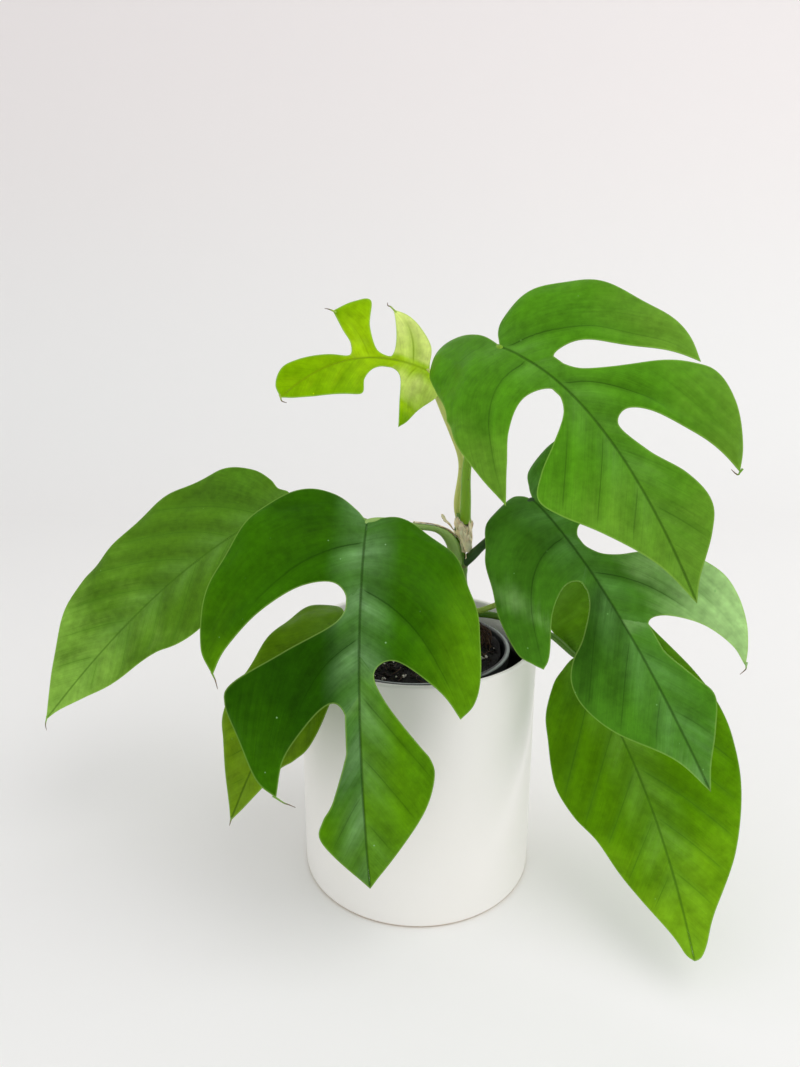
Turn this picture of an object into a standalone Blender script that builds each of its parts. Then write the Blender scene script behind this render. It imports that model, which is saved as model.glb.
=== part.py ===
# Potted mini monstera: seven leaves on one vine, in a nursery pot inside a ceramic cover pot.
# Lengths are in millimetres here and become metres where a mesh is made.
# +Z is up, the plant is seen from -Y, and the origin is the middle of the cover pot's foot.

import bmesh
import bpy
import numpy as np

MM = 0.001
GAP = 0.3

POT_RADIUS = 60.0
POT_HEIGHT = 128.0
POT_WALL = 2.6
POT_FLOOR = 6.0
FLOOR_ROUND = 5.0
RIM_ROUND = 1.3
FOOT_ROUND = 1.6
POT_SIDES = 48

NURSERY_CENTRE = (-1.5, 4.0)
NURSERY_RIM_RADIUS = 47.5
NURSERY_BASE_RADIUS = 37.0
NURSERY_TOP = 120.0
NURSERY_WALL = 1.4
NURSERY_FLOOR = 2.0
NURSERY_EDGE = 0.6
NURSERY_RIM_WIDTH = 2.4
NURSERY_RIM_HEIGHT = 8.0
NURSERY_SIDES = 36
DRAIN_HOLES = 6
DRAIN_RADIUS = 4.0
DRAIN_CIRCLE = 24.0
DRAIN_SIDES = 12

SOIL_TOP = 116.5
SOIL_RINGS = 6
SOIL_BUMP = 1.3
SOIL_WAVES = ((0.31, 0.12, 0.0), (-0.09, 0.37, 1.1), (0.23, 0.23, 2.3))
SOIL_EDGE_DROP = 3.0
MOUND_HEIGHT = 1.5
MOUND_SPREAD = 22.0

STEM_SIDES = 10
STEM_SPAN = 5
STEM_PATH = ((24, 9, 84), (24.5, 8, 112), (24.3, 4, 138), (20.5, 1, 163), (21.6, 2, 190))
STEM_RADII = (3.4, 3.5, 3.3, 3.1, 2.7)
STEM_NODES = ((112, 1.0), (139, 1.1), (163, 1.2), (184, 0.7))
NODE_HALF_LENGTH = 5.0
LEAN_REACH = 10.0

BLADE_THICKNESS = 0.8
MIDRIB_STEP = 14.0
TIP_ROWS = 10
ENTIRE_ROWS = 20
EDGE_ROWS = 12
SHARED_ROWS = 1
SIDE_COLUMNS = 3
PETIOLE_SIDES = 6
PETIOLE_SPAN = 2
PETIOLE_FOOT = 1.25
RIB = ((0.0, 0.85, 1.0), (0.08, 0.7, 1.0), (0.18, 0.55, 0.9), (0.3, 0.3, 0.7))
RIB_DEPTH = 0.7
EDGE_SPAN = 10
SAME = 0.001


def lobe(out, tip, back=(), slit=None, foot=None):
    """One lobe: its rear edge, its tip, its front edge, and the split that ends it.

    Points are (distance along the midrib, distance out from it). The split's inner end is
    slit, and foot is where the vein along the split leaves the midrib.
    """
    return {"out": out, "tip": tip, "back": back, "slit": slit, "foot": foot}


LEAVES = {
    "leaf_front_left": {
        "spine": ((-23, -46, 199), (-25, -84, 141), (-21, -96, 53)),
        "length": 160,
        "face": ((0.15, -1, 0.5), (0.15, -1, 0.2)),
        "fold": (8, 8),
        "curl": (22, 22),
        "halves": (
            [
                lobe([(-6, 5), (-12, 15), (-12, 29), (-4, 42), (17, 55), (46, 65), (64, 65)], (75, 59),
                     [(64, 54), (49, 40), (38, 26), (35, 12)], (42, 6), 36),
                lobe([(53, 10), (66, 31), (78, 51), (86, 54), (98, 50), (114, 43)], (121, 35),
                     [(107, 31), (93, 20), (87, 11)], (92, 6), 84),
                lobe([(103, 5), (124, 12), (131, 17), (137, 19), (146, 13)], (160, 0)),
            ],
            [
                lobe([(-3, 5), (-5, 14), (0, 25), (13, 39), (32, 47), (61, 52), (79, 51), (91, 48)],
                     (97, 42), [(84, 33), (72, 19), (70, 11)], (76, 6), 68),
                lobe([(88, 11), (106, 24), (113, 29), (120, 30), (132, 25), (147, 13)], (160, 0)),
            ],
        ),
        "petiole": ((19.8, 0, 163), (16.2, -3, 177), (8.6, -12, 186), (-4.3, -27, 194),
                    (-16, -42, 199.5)),
        "radius": 1.9,
        "colour": (0.052, 0.158, 0.006),
    },
    "leaf_back_left": {
        "spine": ((-68, 22, 189), (-133, 20, 145), (-193, -5, 81)),
        "length": 171,
        "face": ((-0.3, -1, 0.8), (-0.4, -1, 0.6)),
        "fold": (6, 6),
        "curl": (10, 10),
        "halves": (
            [lobe([(-4, 6), (1.5, 11), (4, 17), (11, 27), (19, 33.6), (27, 37.3), (36, 39.3), (48, 41.8),
                   (60, 43.9), (76, 44), (94, 42.3), (106, 39.8), (116, 40.5), (127, 37.3),
                   (135, 32.2), (146, 22), (156, 14), (166, 5)], (171, 0))],
            [lobe([(-4, 9), (6, 20), (24, 29), (50, 33), (82, 32.6), (98, 31), (110, 26), (123, 21.8),
                   (140, 18), (153, 10.5), (164, 3)], (171, 0))],
        ),
        "petiole": ((24, 4, 150), (4, 18, 164), (-24, 26, 178), (-52, 26, 186)),
        "radius": 1.7,
        "colour": (0.082, 0.205, 0.010),
    },
    "leaf_low_left": {
        "spine": ((-40, -25, 140), (-63, -53, 112), (-86, -63, 62)),
        "length": 103,
        "face": ((-0.6, -1, 0.5), (-0.6, -1, 0.5)),
        "fold": (6, 6),
        "curl": (12, 12),
        "halves": (
            [lobe([(-13, 2.5), (-18.5, 7.5), (-19, 14), (-14, 21), (-5, 25), (9, 26.8), (29, 27), (56, 27),
                   (69, 26), (77, 21), (86, 14.3), (95, 6.5)], (103, 0))],
            [lobe([(-9, 4), (-9, 10), (0, 16), (18, 20.5), (38, 21), (56, 23), (65, 19.3), (72, 14),
                   (83, 9.3), (95, 4)], (103, 0))],
        ),
        "petiole": ((24.5, 6, 128), (8, 0, 134), (-12, -9, 140), (-31, -17, 141)),
        "radius": 1.5,
        "colour": (0.070, 0.170, 0.004),
    },
    "leaf_new_top": {
        "spine": ((5, 13.5, 257.5), (-30.5, -2, 264.5), (-63, -12, 248)),
        "length": 77,
        "face": ((0, -1, 0.3), (-0.1, -1, 0.4)),
        "fold": (10, 10),
        "curl": (4, 4),
        "halves": (
            [
                lobe([(1, 3.5), (3, 11), (9, 17), (15, 21)], (20.5, 22.5),
                     [(19.5, 18), (18, 9), (18.2, 3.4)],
                     (20.5, 1.2), 17),
                lobe([(26.5, 4), (29, 14), (28, 26), (34, 26)], (42, 23), [(40, 14), (38, 7)], (40, 2), 38),
                lobe([(49, 5), (62, 9), (69, 10), (75, 6)], (77, 0)),
            ],
            [
                lobe([(-5, 5), (-7, 10), (1, 21), (7, 28)], (13, 32), [(14, 21), (14, 8)], (19, 4), 15),
                lobe([(28, 5), (35, 10), (39, 17), (50, 16), (63, 11), (72, 5)], (77, 0)),
            ],
        ),
        "petiole": ((20.3, 5.6, 186), (19.2, 6.2, 195), (21.2, 8.5, 214), (16.2, 12.5, 229.5),
                    (9, 16.3, 246.5)),
        "radius": 1.9,
        "colour": (0.330, 0.560, 0.012),
    },
    "leaf_top_right": {
        "spine": ((34, -24, 271), (71, -60, 242), (109, -80, 175)),
        "length": 140,
        "face": ((-0.25, -1, 0.6), (-0.2, -1, 0.6)),
        "lean": (7, 0),
        "fold": (8, 8),
        "curl": (18, 18),
        "halves": (
            [
                lobe([(-8, 1.4), (-21, 1.5), (-34, 2.6), (-45, 6), (-50, 12), (-46, 21), (-27, 34.5),
                      (0, 40), (29, 48), (55, 50)], (75, 49), [(59, 39), (44, 29), (36, 15)], (42, 4), 34),
                lobe([(54, 7), (64, 19), (72, 30), (81, 37), (92, 33), (106, 22), (124, 8)], (140, 0)),
            ],
            [
                lobe([(-7, 7), (-8, 15), (-1.5, 30.5), (11, 41.5), (30, 48), (48, 51), (61, 51)], (71, 48),
                     [(58, 37), (45, 27), (32, 16)], (30, 7), 24),
                lobe([(44, 10), (56, 25), (69, 44), (77, 51), (89, 49), (102, 42)], (109, 36),
                     [(93, 30), (77, 20), (70, 12)], (74, 6), 66),
                lobe([(88, 10), (101, 18), (113, 21), (122, 16), (133, 5)], (140, 0)),
            ],
        ),
        "petiole": ((22.9, 0.3, 186), (22.9, 0, 196), (23.2, 0, 215), (27.5, -2, 240), (32, -10, 262),
                    (33, -18, 269)),
        "radius": 2.2,
        "colour": (0.080, 0.230, 0.010),
    },
    "leaf_middle_right": {
        "spine": ((53, -14, 201), (83, -54, 164), (122, -84, 92)),
        "length": 150,
        "face": ((-0.3, -1, 0.5), (-0.25, -1, 0.5)),
        "fold": (8, 8),
        "curl": (18, 18),
        "halves": (
            [
                lobe([(-8, 2), (-14, 6), (-14, 15), (-9, 25), (10, 34), (38, 42), (58, 46), (73, 46.5),
                      (81, 42.5)], (85.2, 39.5), [(81, 34.5), (65, 24), (56, 13)], (59, 6), 52),
                lobe([(69, 8), (81, 18), (88, 27), (96, 32), (107, 32), (120, 25), (136, 8)], (150, 0)),
            ],
            [
                lobe([(-9, 3), (-19, 9), (-20, 22), (-12, 36), (5, 47), (27, 54), (50, 56)], (64, 46),
                     [(55, 33), (45, 23), (36, 14), (33, 8.5), (36.3, 4.8)], (41.5, 4.3), 31),
                lobe([(46, 5.2), (52, 8.5), (57, 14.5), (61.5, 23), (71, 38), (83, 45.5), (94, 47),
                      (104, 45), (112, 40.3)], (117.3, 35.5), [(109, 34.7), (97.5, 27.6), (88.6, 16.4)],
                     (88.5, 9), 82),
                lobe([(100, 9), (113, 15), (122, 19), (132, 13), (142, 5)], (150, 0)),
            ],
        ),
        "petiole": ((20.5, 1, 163), (26.5, -1, 169.5), (32, -2, 175.5), (44, -8, 189), (51, -12, 198)),
        "radius": 2.1,
        "colour": (0.050, 0.140, 0.014),
    },
    "leaf_low_right": {
        "spine": ((80, -10, 119), (105, -52, 72), (117, -100, 20)),
        "length": 140.5,
        "face": ((-0.3, -1, 0.5), (-0.3, -1, 0.3)),
        "fold": (6, 6),
        "curl": (12, 12),
        "halves": (
            [lobe([(-1, 3), (1, 9), (5.5, 17.5), (18, 28), (31, 33.3), (45, 37), (58.5, 38.8), (73, 35.6),
                   (87, 28.5), (103, 23), (116, 16.3), (131, 6.6), (138, 3)], (140.5, 0))],
            [lobe([(-8, 1), (-19, 1.8), (-32, 4), (-42, 12), (-43, 22), (-37, 31), (-24, 36), (5, 38),
                   (30, 44.5), (50, 47), (64, 45.6), (82, 40), (104, 28.4), (124.5, 12.5),
                   (135, 6.5), (139.5, 3)], (140.5, 0))],
        ),
        "petiole": ((25, 5, 137), (40, 1.5, 136.5), (54, -3, 133.3), (67, -6, 129), (77, -9, 121)),
        "radius": 1.5,
        "colour": (0.082, 0.240, 0.005),
    },
}

SHOOT_PATH = ((25, 1, 138), (30.6, -1, 140.3), (38, -1, 143), (47.4, 1, 147), (58, 4, 158),
              (66, 7, 172), (70, 8, 190))
SHOOT_RADII = (1.5, 1.5, 1.4, 1.4, 2.0, 1.8, 0.5)

SHEATH_THICKNESS = 0.7
SHEATH_CLEAR = 0.9
STEM_SHEATH = {"bottom": 171, "top": 184, "flare": 1.6, "start": -98, "sweep": 176,
               "tear": 2.2, "tears": 2.5, "rows": 6, "columns": 11}
PETIOLE_SHEATH = {"leaf": "leaf_front_left", "from": 0.28, "to": 0.62, "sweep": 150,
                  "end_share": 0.35, "rows": 9, "columns": 7}

COLOURS = {
    "glazed_ceramic": ((0.80, 0.79, 0.76), 0.25),
    "black_plastic": ((0.012, 0.013, 0.013), 0.45),
    "potting_soil": ((0.020, 0.012, 0.008), 0.95),
    "stem_skin": ((0.10, 0.20, 0.02), 0.5),
    "dried_sheath": ((0.28, 0.18, 0.09), 0.85),
    "shoot_skin": ((0.25, 0.40, 0.03), 0.45),
}


def clear_scene():
    """Remove what the startup file holds."""
    for item in list(bpy.data.objects):
        bpy.data.objects.remove(item, do_unlink=True)


def make_material(name, colour, roughness):
    """A plain material of one colour."""
    material = bpy.data.materials.new(name)
    material.use_nodes = True
    shader = material.node_tree.nodes["Principled BSDF"]
    shader.inputs["Base Color"].default_value = (*colour, 1.0)
    shader.inputs["Roughness"].default_value = roughness
    return material


def add_object(name, points, faces, material, guide=False):
    """Make a mesh object from points in millimetres; a guide only cuts or joins another."""
    mesh = bpy.data.meshes.new(name)
    mesh.from_pydata((np.asarray(points, float) * MM).tolist(), [], faces)
    mesh.update()
    item = bpy.data.objects.new(name, mesh)
    bpy.context.collection.objects.link(item)
    if material:
        mesh.materials.append(material)
    if guide:
        item.hide_render = True
        item.display_type = "WIRE"
    else:
        mesh.shade_smooth()
        mesh.set_sharp_from_angle(angle=np.radians(40))
    return item


def add_boolean(item, other, operation):
    """Join or cut an object with a guide, by the exact solver."""
    modifier = item.modifiers.new(operation.lower(), "BOOLEAN")
    modifier.operation = operation
    modifier.solver = "EXACT"
    modifier.object = other


def unit(vector):
    """Vectors of length one in the same directions."""
    return vector / np.linalg.norm(vector, axis=-1, keepdims=True)


def smooth_line(points, per_span):
    """A Catmull-Rom curve through the points, per_span steps in each span."""
    points = np.asarray(points, float)
    ends = np.vstack([2 * points[0] - points[1], points, 2 * points[-1] - points[-2]])
    pieces = []
    step = np.linspace(0, 1, per_span, endpoint=False)[:, None]
    for a, b, c, d in zip(ends[:-3], ends[1:-2], ends[2:-1], ends[3:]):
        pieces.append(0.5 * (2 * b + (c - a) * step + (2 * a - 5 * b + 4 * c - d) * step ** 2
                             + (3 * b - a - 3 * c + d) * step ** 3))
    pieces.append(points[-1:])
    return np.vstack(pieces)


def even_points(line, count):
    """The given number of points, evenly spaced along a line, both ends kept."""
    length = np.concatenate([[0], np.cumsum(np.linalg.norm(np.diff(line, axis=0), axis=1))])
    wanted = np.linspace(0, length[-1], count)
    return np.stack([np.interp(wanted, length, line[:, k]) for k in range(line.shape[1])], -1)


def turned(profile, sides, centre=(0, 0)):
    """A closed profile of (radius, height) points turned round the vertical axis."""
    profile = np.asarray(profile, float)
    angle = np.linspace(0, 2 * np.pi, sides, endpoint=False)[:, None]
    points = np.stack([centre[0] + profile[:, 0] * np.cos(angle),
                       centre[1] + profile[:, 0] * np.sin(angle),
                       profile[:, 1] + 0 * angle], -1)
    around = len(profile)
    faces = []
    for i in range(sides):
        for j in range(around - 1):
            a = i * around + j
            b = (i + 1) % sides * around + j
            faces.append((a, a + 1, b + 1, b))
    return points.reshape(-1, 3), faces


def close_poles(points, faces):
    """Merge the points that meet on the axis, and drop faces that this leaves flat."""
    keys = np.round(points, 4)
    unique, index = np.unique(keys, axis=0, return_inverse=True)
    index = index.ravel()
    kept = []
    for face in faces:
        corners = [int(index[k]) for k in face]
        corners = [c for n, c in enumerate(corners) if c != corners[n - 1]]
        if len(corners) > 2:
            kept.append(tuple(corners))
    return unique, kept


def point_outwards(item):
    """Turn every face of a closed mesh outwards."""
    mesh = bmesh.new()
    mesh.from_mesh(item.data)
    bmesh.ops.recalc_face_normals(mesh, faces=mesh.faces)
    mesh.to_mesh(item.data)
    mesh.free()


def add_turned(name, profile, sides, material, centre=(0, 0), guide=False):
    """A turned solid whose profile starts and ends on the axis."""
    points, faces = close_poles(*turned(profile, sides, centre))
    item = add_object(name, points, faces, material, guide)
    point_outwards(item)
    return item


def tube(path, radii, sides):
    """A round rod along a path, with flat ends, as points and faces."""
    path = np.asarray(path, float)
    radii = np.asarray(radii, float)[:, None, None]
    along = unit(np.gradient(path, axis=0))
    helper = np.array([0.0, 1.0, 0.0]) if abs(along[0, 1]) < 0.8 else np.array([1.0, 0.0, 0.0])
    across = unit(np.cross(along, helper))
    third = np.cross(along, across)
    angle = np.linspace(0, 2 * np.pi, sides, endpoint=False)[None, :, None]
    ring = path[:, None] + radii * (np.cos(angle) * across[:, None] + np.sin(angle) * third[:, None])
    faces = [tuple(range(sides)), tuple(range(len(path) * sides - 1, (len(path) - 1) * sides - 1, -1))]
    for i in range(len(path) - 1):
        for j in range(sides):
            k = (j + 1) % sides
            faces.append((i * sides + j, (i + 1) * sides + j, (i + 1) * sides + k, i * sides + k))
    return ring.reshape(-1, 3), faces


def add_tube(name, path, radii, sides, material, guide=False):
    """A rod object along a path."""
    points, faces = tube(path, radii, sides)
    item = add_object(name, points, faces, material, guide)
    point_outwards(item)
    return item


def make_cover_pot(material):
    """Straight ceramic cylinder: small foot, thin rounded rim, thicker floor."""
    inner = POT_RADIUS - POT_WALL
    profile = [
        (0, POT_FLOOR), (inner - FLOOR_ROUND, POT_FLOOR),
        (inner - FLOOR_ROUND / 4, POT_FLOOR + FLOOR_ROUND / 4), (inner, POT_FLOOR + FLOOR_ROUND),
        (inner, POT_HEIGHT - RIM_ROUND), (inner + RIM_ROUND / 2, POT_HEIGHT - RIM_ROUND / 6),
        (POT_RADIUS - RIM_ROUND, POT_HEIGHT), (POT_RADIUS - RIM_ROUND / 4, POT_HEIGHT - RIM_ROUND / 3),
        (POT_RADIUS, POT_HEIGHT - RIM_ROUND), (POT_RADIUS, FOOT_ROUND),
        (POT_RADIUS - FOOT_ROUND / 3, FOOT_ROUND / 3), (POT_RADIUS - FOOT_ROUND, 0), (0, 0),
    ]
    return add_turned("cover_pot", profile, POT_SIDES, material)


def nursery_inner_radius(height):
    """Inside radius of the nursery pot at a height, as it tapers to its base."""
    bottom = POT_FLOOR + GAP
    share = (height - bottom) / (NURSERY_TOP - bottom)
    outer = NURSERY_BASE_RADIUS + share * (NURSERY_RIM_RADIUS - NURSERY_RIM_WIDTH - NURSERY_BASE_RADIUS)
    return outer - NURSERY_WALL


def make_nursery_pot(material):
    """Tapered thin pot with a stiff rim band and drain holes, standing in the cover pot."""
    bottom = POT_FLOOR + GAP
    floor = bottom + NURSERY_FLOOR
    rim_inner = NURSERY_RIM_RADIUS - NURSERY_RIM_WIDTH
    band = NURSERY_TOP - NURSERY_RIM_HEIGHT
    profile = [
        (0, floor), (nursery_inner_radius(floor), floor), (nursery_inner_radius(band), band),
        (rim_inner, NURSERY_TOP - 3 * NURSERY_EDGE), (rim_inner + NURSERY_EDGE, NURSERY_TOP),
        (NURSERY_RIM_RADIUS - NURSERY_EDGE, NURSERY_TOP), (NURSERY_RIM_RADIUS, NURSERY_TOP - NURSERY_EDGE),
        (NURSERY_RIM_RADIUS - NURSERY_EDGE, band), (nursery_inner_radius(band) + NURSERY_WALL, band),
        (NURSERY_BASE_RADIUS, bottom + NURSERY_EDGE), (NURSERY_BASE_RADIUS - NURSERY_EDGE, bottom),
        (0, bottom),
    ]
    pot = add_turned("nursery_pot", profile, NURSERY_SIDES, material, NURSERY_CENTRE)
    for k in range(DRAIN_HOLES):
        angle = 2 * np.pi * k / DRAIN_HOLES
        centre = (NURSERY_CENTRE[0] + DRAIN_CIRCLE * np.cos(angle),
                  NURSERY_CENTRE[1] + DRAIN_CIRCLE * np.sin(angle))
        hole = [(0, floor + 1), (DRAIN_RADIUS, floor + 1), (DRAIN_RADIUS, bottom - 1), (0, bottom - 1)]
        cutter = add_turned(f"drain_cutter_{k}", hole, DRAIN_SIDES, None, centre, guide=True)
        add_boolean(pot, cutter, "DIFFERENCE")
    return pot


def soil_height(x, y):
    """Top of the soil: a low mound by the stem, with soft lumps where three waves cross."""
    stem_x, stem_y, _ = STEM_PATH[1]
    mound = np.exp(-((x - stem_x) ** 2 + (y - stem_y) ** 2) / MOUND_SPREAD ** 2)
    lumps = sum(np.sin(a * x + b * y + phase) for a, b, phase in SOIL_WAVES) / len(SOIL_WAVES)
    return SOIL_TOP + MOUND_HEIGHT * mound + SOIL_BUMP * lumps


def make_soil(material):
    """Soil that fills the nursery pot, with a plain hole where the stem stands."""
    bottom = POT_FLOOR + 2 * GAP + NURSERY_FLOOR
    edge = SOIL_TOP - SOIL_EDGE_DROP
    wall_bottom = nursery_inner_radius(bottom) - GAP
    wall_top = nursery_inner_radius(edge) - GAP
    profile = [(0, bottom), (wall_bottom, bottom), (wall_top, edge)]
    profile += [(wall_top * (1 - k / SOIL_RINGS), SOIL_TOP) for k in range(SOIL_RINGS + 1)]
    points, faces = close_poles(*turned(profile, NURSERY_SIDES, NURSERY_CENTRE))
    top = points[:, 2] > edge + SAME
    points[top, 2] = soil_height(points[top, 0], points[top, 1])
    soil = add_object("soil", points, faces, material)
    point_outwards(soil)
    hole_path = np.array(STEM_PATH[:3], float)
    hole_path[0, 2] -= 2 * GAP
    hole_radii = np.array(STEM_RADII[:3]) + STEM_NODES[0][1] + GAP
    hole = add_tube("stem_hole", hole_path, hole_radii, STEM_SIDES, None, guide=True)
    add_boolean(soil, hole, "DIFFERENCE")
    return soil


def stem_line(extra=0.0):
    """The stem's path and radii, swollen at each node, with some extra radius all over."""
    path = smooth_line(STEM_PATH, STEM_SPAN)
    radii = smooth_line(np.array(STEM_RADII)[:, None], STEM_SPAN)[:, 0]
    for height, swell in STEM_NODES:
        radii = radii + swell * np.exp(-((path[:, 2] - height) / NODE_HALF_LENGTH) ** 2)
    if extra:
        path[0, 2] -= extra
        path[-1, 2] += extra
    return path, radii + extra


def leaf_place(leaf, along, out, side):
    """Put flat leaf points in space.

    The midrib is a parabola through three points of the spine. Across it, each half is a
    circular arc that starts at the fold angle above the leaf's plane and bends back with the
    distance out. The leaf's plane turns evenly from the first facing to the second. Behind the
    petiole a half may lean across the line of the midrib.
    """
    start, middle, end = (np.array(p, float) for p in leaf["spine"])
    bend = 2 * middle - (start + end) / 2
    t = (np.asarray(along, float) / leaf["length"])[..., None]
    centre = (1 - t) ** 2 * start + 2 * t * (1 - t) * bend + t ** 2 * end
    forward = unit(2 * (1 - t) * (bend - start) + 2 * t * (end - bend))
    turn = np.clip(t, -0.3, 1.1)
    start, end = (unit(np.array(face, float)) for face in leaf["face"])
    facing = (1 - turn) * start + turn * end
    up = unit(facing - (facing * forward).sum(-1, keepdims=True) * forward)
    across = np.cross(forward, up)
    half = 0 if side > 0 else 1
    fold = np.radians(leaf["fold"][half])
    rate = np.radians(leaf["curl"][half]) / 50
    lean = leaf.get("lean", (0, 0))[half] * (1 - np.exp(np.minimum(along, 0) / LEAN_REACH))
    away = (np.asarray(out, float) - lean)[..., None]
    sideways = (np.sin(fold) - np.sin(fold - rate * away)) / rate
    rise = (np.cos(fold - rate * away) - np.cos(fold)) / rate
    return centre + side * sideways * across + rise * up


def midrib_marks(leaf):
    """Distances along the midrib that both halves share."""
    feet = {0.0, float(leaf["length"])}
    for half in leaf["halves"]:
        feet.update(float(part["foot"]) for part in half if part["foot"] is not None)
    feet = sorted(feet)
    marks = []
    tip_rows = ENTIRE_ROWS if len(feet) == 2 else TIP_ROWS
    for a, b in zip(feet[:-1], feet[1:]):
        count = tip_rows if b == feet[-1] else max(1, round((b - a) / MIDRIB_STEP))
        marks += list(np.linspace(a, b, count, endpoint=False))
    return np.array(marks + [feet[-1]])


def free_edge(points, before=None):
    """A smooth edge through points; the point before it only sets how it starts."""
    if before is None:
        return smooth_line(points, EDGE_SPAN)
    return smooth_line([before, *points], EDGE_SPAN)[EDGE_SPAN:]


def edge_rows(foot, slit, edge, count):
    """Points from the midrib to a split's inner end, then on along the free edge."""
    shared = np.linspace((foot, 0.0), slit, SHARED_ROWS + 1)
    return np.vstack([shared, even_points(edge, count - SHARED_ROWS)[1:]])


def half_grids(leaf, half):
    """Flat grids of one half of a leaf, a ruled sheet for each lobe.

    A lobe's rear edge and front edge both run from the midrib to its tip, and the sheet is
    every straight line between points at equal shares of the two. The last lobe's front edge
    is the midrib.
    """
    marks = midrib_marks(leaf)
    parts = leaf["halves"][half]
    grids = []
    foot, slit, before = 0.0, (0.0, 0.0), None
    for part, following in zip(parts, parts[1:] + [None]):
        end = part["foot"] if following else leaf["length"]
        columns = marks[(marks >= foot - SAME) & (marks <= end + SAME)]
        if following:
            count = SHARED_ROWS + EDGE_ROWS + 1
            edge = free_edge([part["slit"], *reversed(part["back"]), part["tip"]], following["out"][0])
            front = edge_rows(end, part["slit"], edge, count)
            share = (columns - foot) / (end - foot)
        else:
            count = len(columns)
            front = np.stack([columns, 0 * columns], -1)
            share = np.linspace(0, 1, SIDE_COLUMNS + 1)
        edge = free_edge([slit, *part["out"], part["tip"]], before)
        rear = even_points(edge, count) if before is None else edge_rows(foot, slit, edge, count)
        share = share[None, :, None]
        grids.append((1 - share) * rear[:, None] + share * front[:, None])
        if following:
            foot, slit, before = end, part["slit"], part["back"][-1]
    return grids


def blade_mesh(leaf):
    """One welded sheet of triangles for the whole blade."""
    points = []
    faces = []
    base = 0
    for half, side in ((0, 1), (1, -1)):
        for grid in half_grids(leaf, half):
            rows, columns = grid.shape[:2]
            points.append(leaf_place(leaf, grid[..., 0], grid[..., 1], side).reshape(-1, 3))
            for i in range(rows - 1):
                for j in range(columns - 1):
                    a = base + i * columns + j
                    b, c, d = a + columns, a + columns + 1, a + 1
                    faces += [(a, b, c), (a, c, d)] if side > 0 else [(a, c, b), (a, d, c)]
            base += rows * columns
    return close_poles(np.vstack(points), faces)


def make_leaf(name, leaf, stem_room):
    """A blade of even thickness, joined to its petiole, which runs on under the midrib."""
    material = make_material(name, leaf["colour"], 0.4)
    points, faces = blade_mesh(leaf)
    item = add_object(name, points, faces, material)
    thick = item.modifiers.new("thickness", "SOLIDIFY")
    thick.thickness = BLADE_THICKNESS * MM
    thick.offset = 0.0
    path, radii = petiole_line(leaf)
    rod = add_tube(name + "_petiole", path, radii, PETIOLE_SIDES, None, guide=True)
    add_boolean(item, rod, "UNION")
    add_boolean(item, stem_room, "DIFFERENCE")
    return item


def petiole_line(leaf):
    """The petiole's path and radii, from inside the stem to a slim rib under the blade."""
    along, thinness, depth = np.array(RIB).T
    along = along * leaf["length"]
    rib = leaf_place(leaf, along, 0 * along, 1)
    across = leaf_place(leaf, along, 0 * along + 1, 1) - leaf_place(leaf, along, 0 * along + 1, -1)
    up = unit(np.cross(across, np.gradient(rib, axis=0)))
    rib = rib - up * depth[:, None] * RIB_DEPTH
    path = smooth_line(np.vstack([np.array(leaf["petiole"], float), rib]), PETIOLE_SPAN)
    width = np.concatenate([[PETIOLE_FOOT], np.ones(len(leaf["petiole"]) - 1), thinness])
    radii = smooth_line(leaf["radius"] * width[:, None], PETIOLE_SPAN)[:, 0]
    return path, radii


def make_shoot(material, stem_room):
    """A young leaf still rolled into a point, on its own short stalk."""
    path = smooth_line(SHOOT_PATH, PETIOLE_SPAN)
    radii = smooth_line(np.array(SHOOT_RADII)[:, None], PETIOLE_SPAN)[:, 0]
    item = add_tube("young_shoot", path, radii, PETIOLE_SIDES, material)
    add_boolean(item, stem_room, "DIFFERENCE")
    return item


def add_sheet(name, grid, material):
    """A thin torn sheet on a grid of points, given its thickness about its middle."""
    rows, columns = grid.shape[:2]
    faces = []
    for i in range(rows - 1):
        for j in range(columns - 1):
            a = i * columns + j
            faces += [(a, a + columns, a + columns + 1), (a, a + columns + 1, a + 1)]
    item = add_object(name, grid.reshape(-1, 3), faces, material)
    thick = item.modifiers.new("thickness", "SOLIDIFY")
    thick.thickness = SHEATH_THICKNESS * MM
    thick.offset = 0.0
    return item


def make_stem_sheath(material):
    """Dried sheath wrapped part way round the top of the stem, opening upwards, torn on top."""
    sheath = STEM_SHEATH
    path, radii = stem_line()
    share = np.linspace(0, 1, sheath["rows"])[:, None]
    height = sheath["bottom"] + (sheath["top"] - sheath["bottom"]) * share
    turn = np.linspace(0, 1, sheath["columns"])[None, :]
    angle = np.radians(sheath["start"] + sheath["sweep"] * turn)
    centre_x = np.interp(height, path[:, 2], path[:, 0])
    centre_y = np.interp(height, path[:, 2], path[:, 1])
    radius = np.interp(height, path[:, 2], radii) + SHEATH_CLEAR + sheath["flare"] * share ** 2
    torn = sheath["tear"] * np.abs(np.sin(sheath["tears"] * angle)) * share ** 3
    grid = np.stack([centre_x + radius * np.cos(angle), centre_y + radius * np.sin(angle),
                     height + torn], -1)
    return add_sheet("stem_sheath", grid, material)


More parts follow.
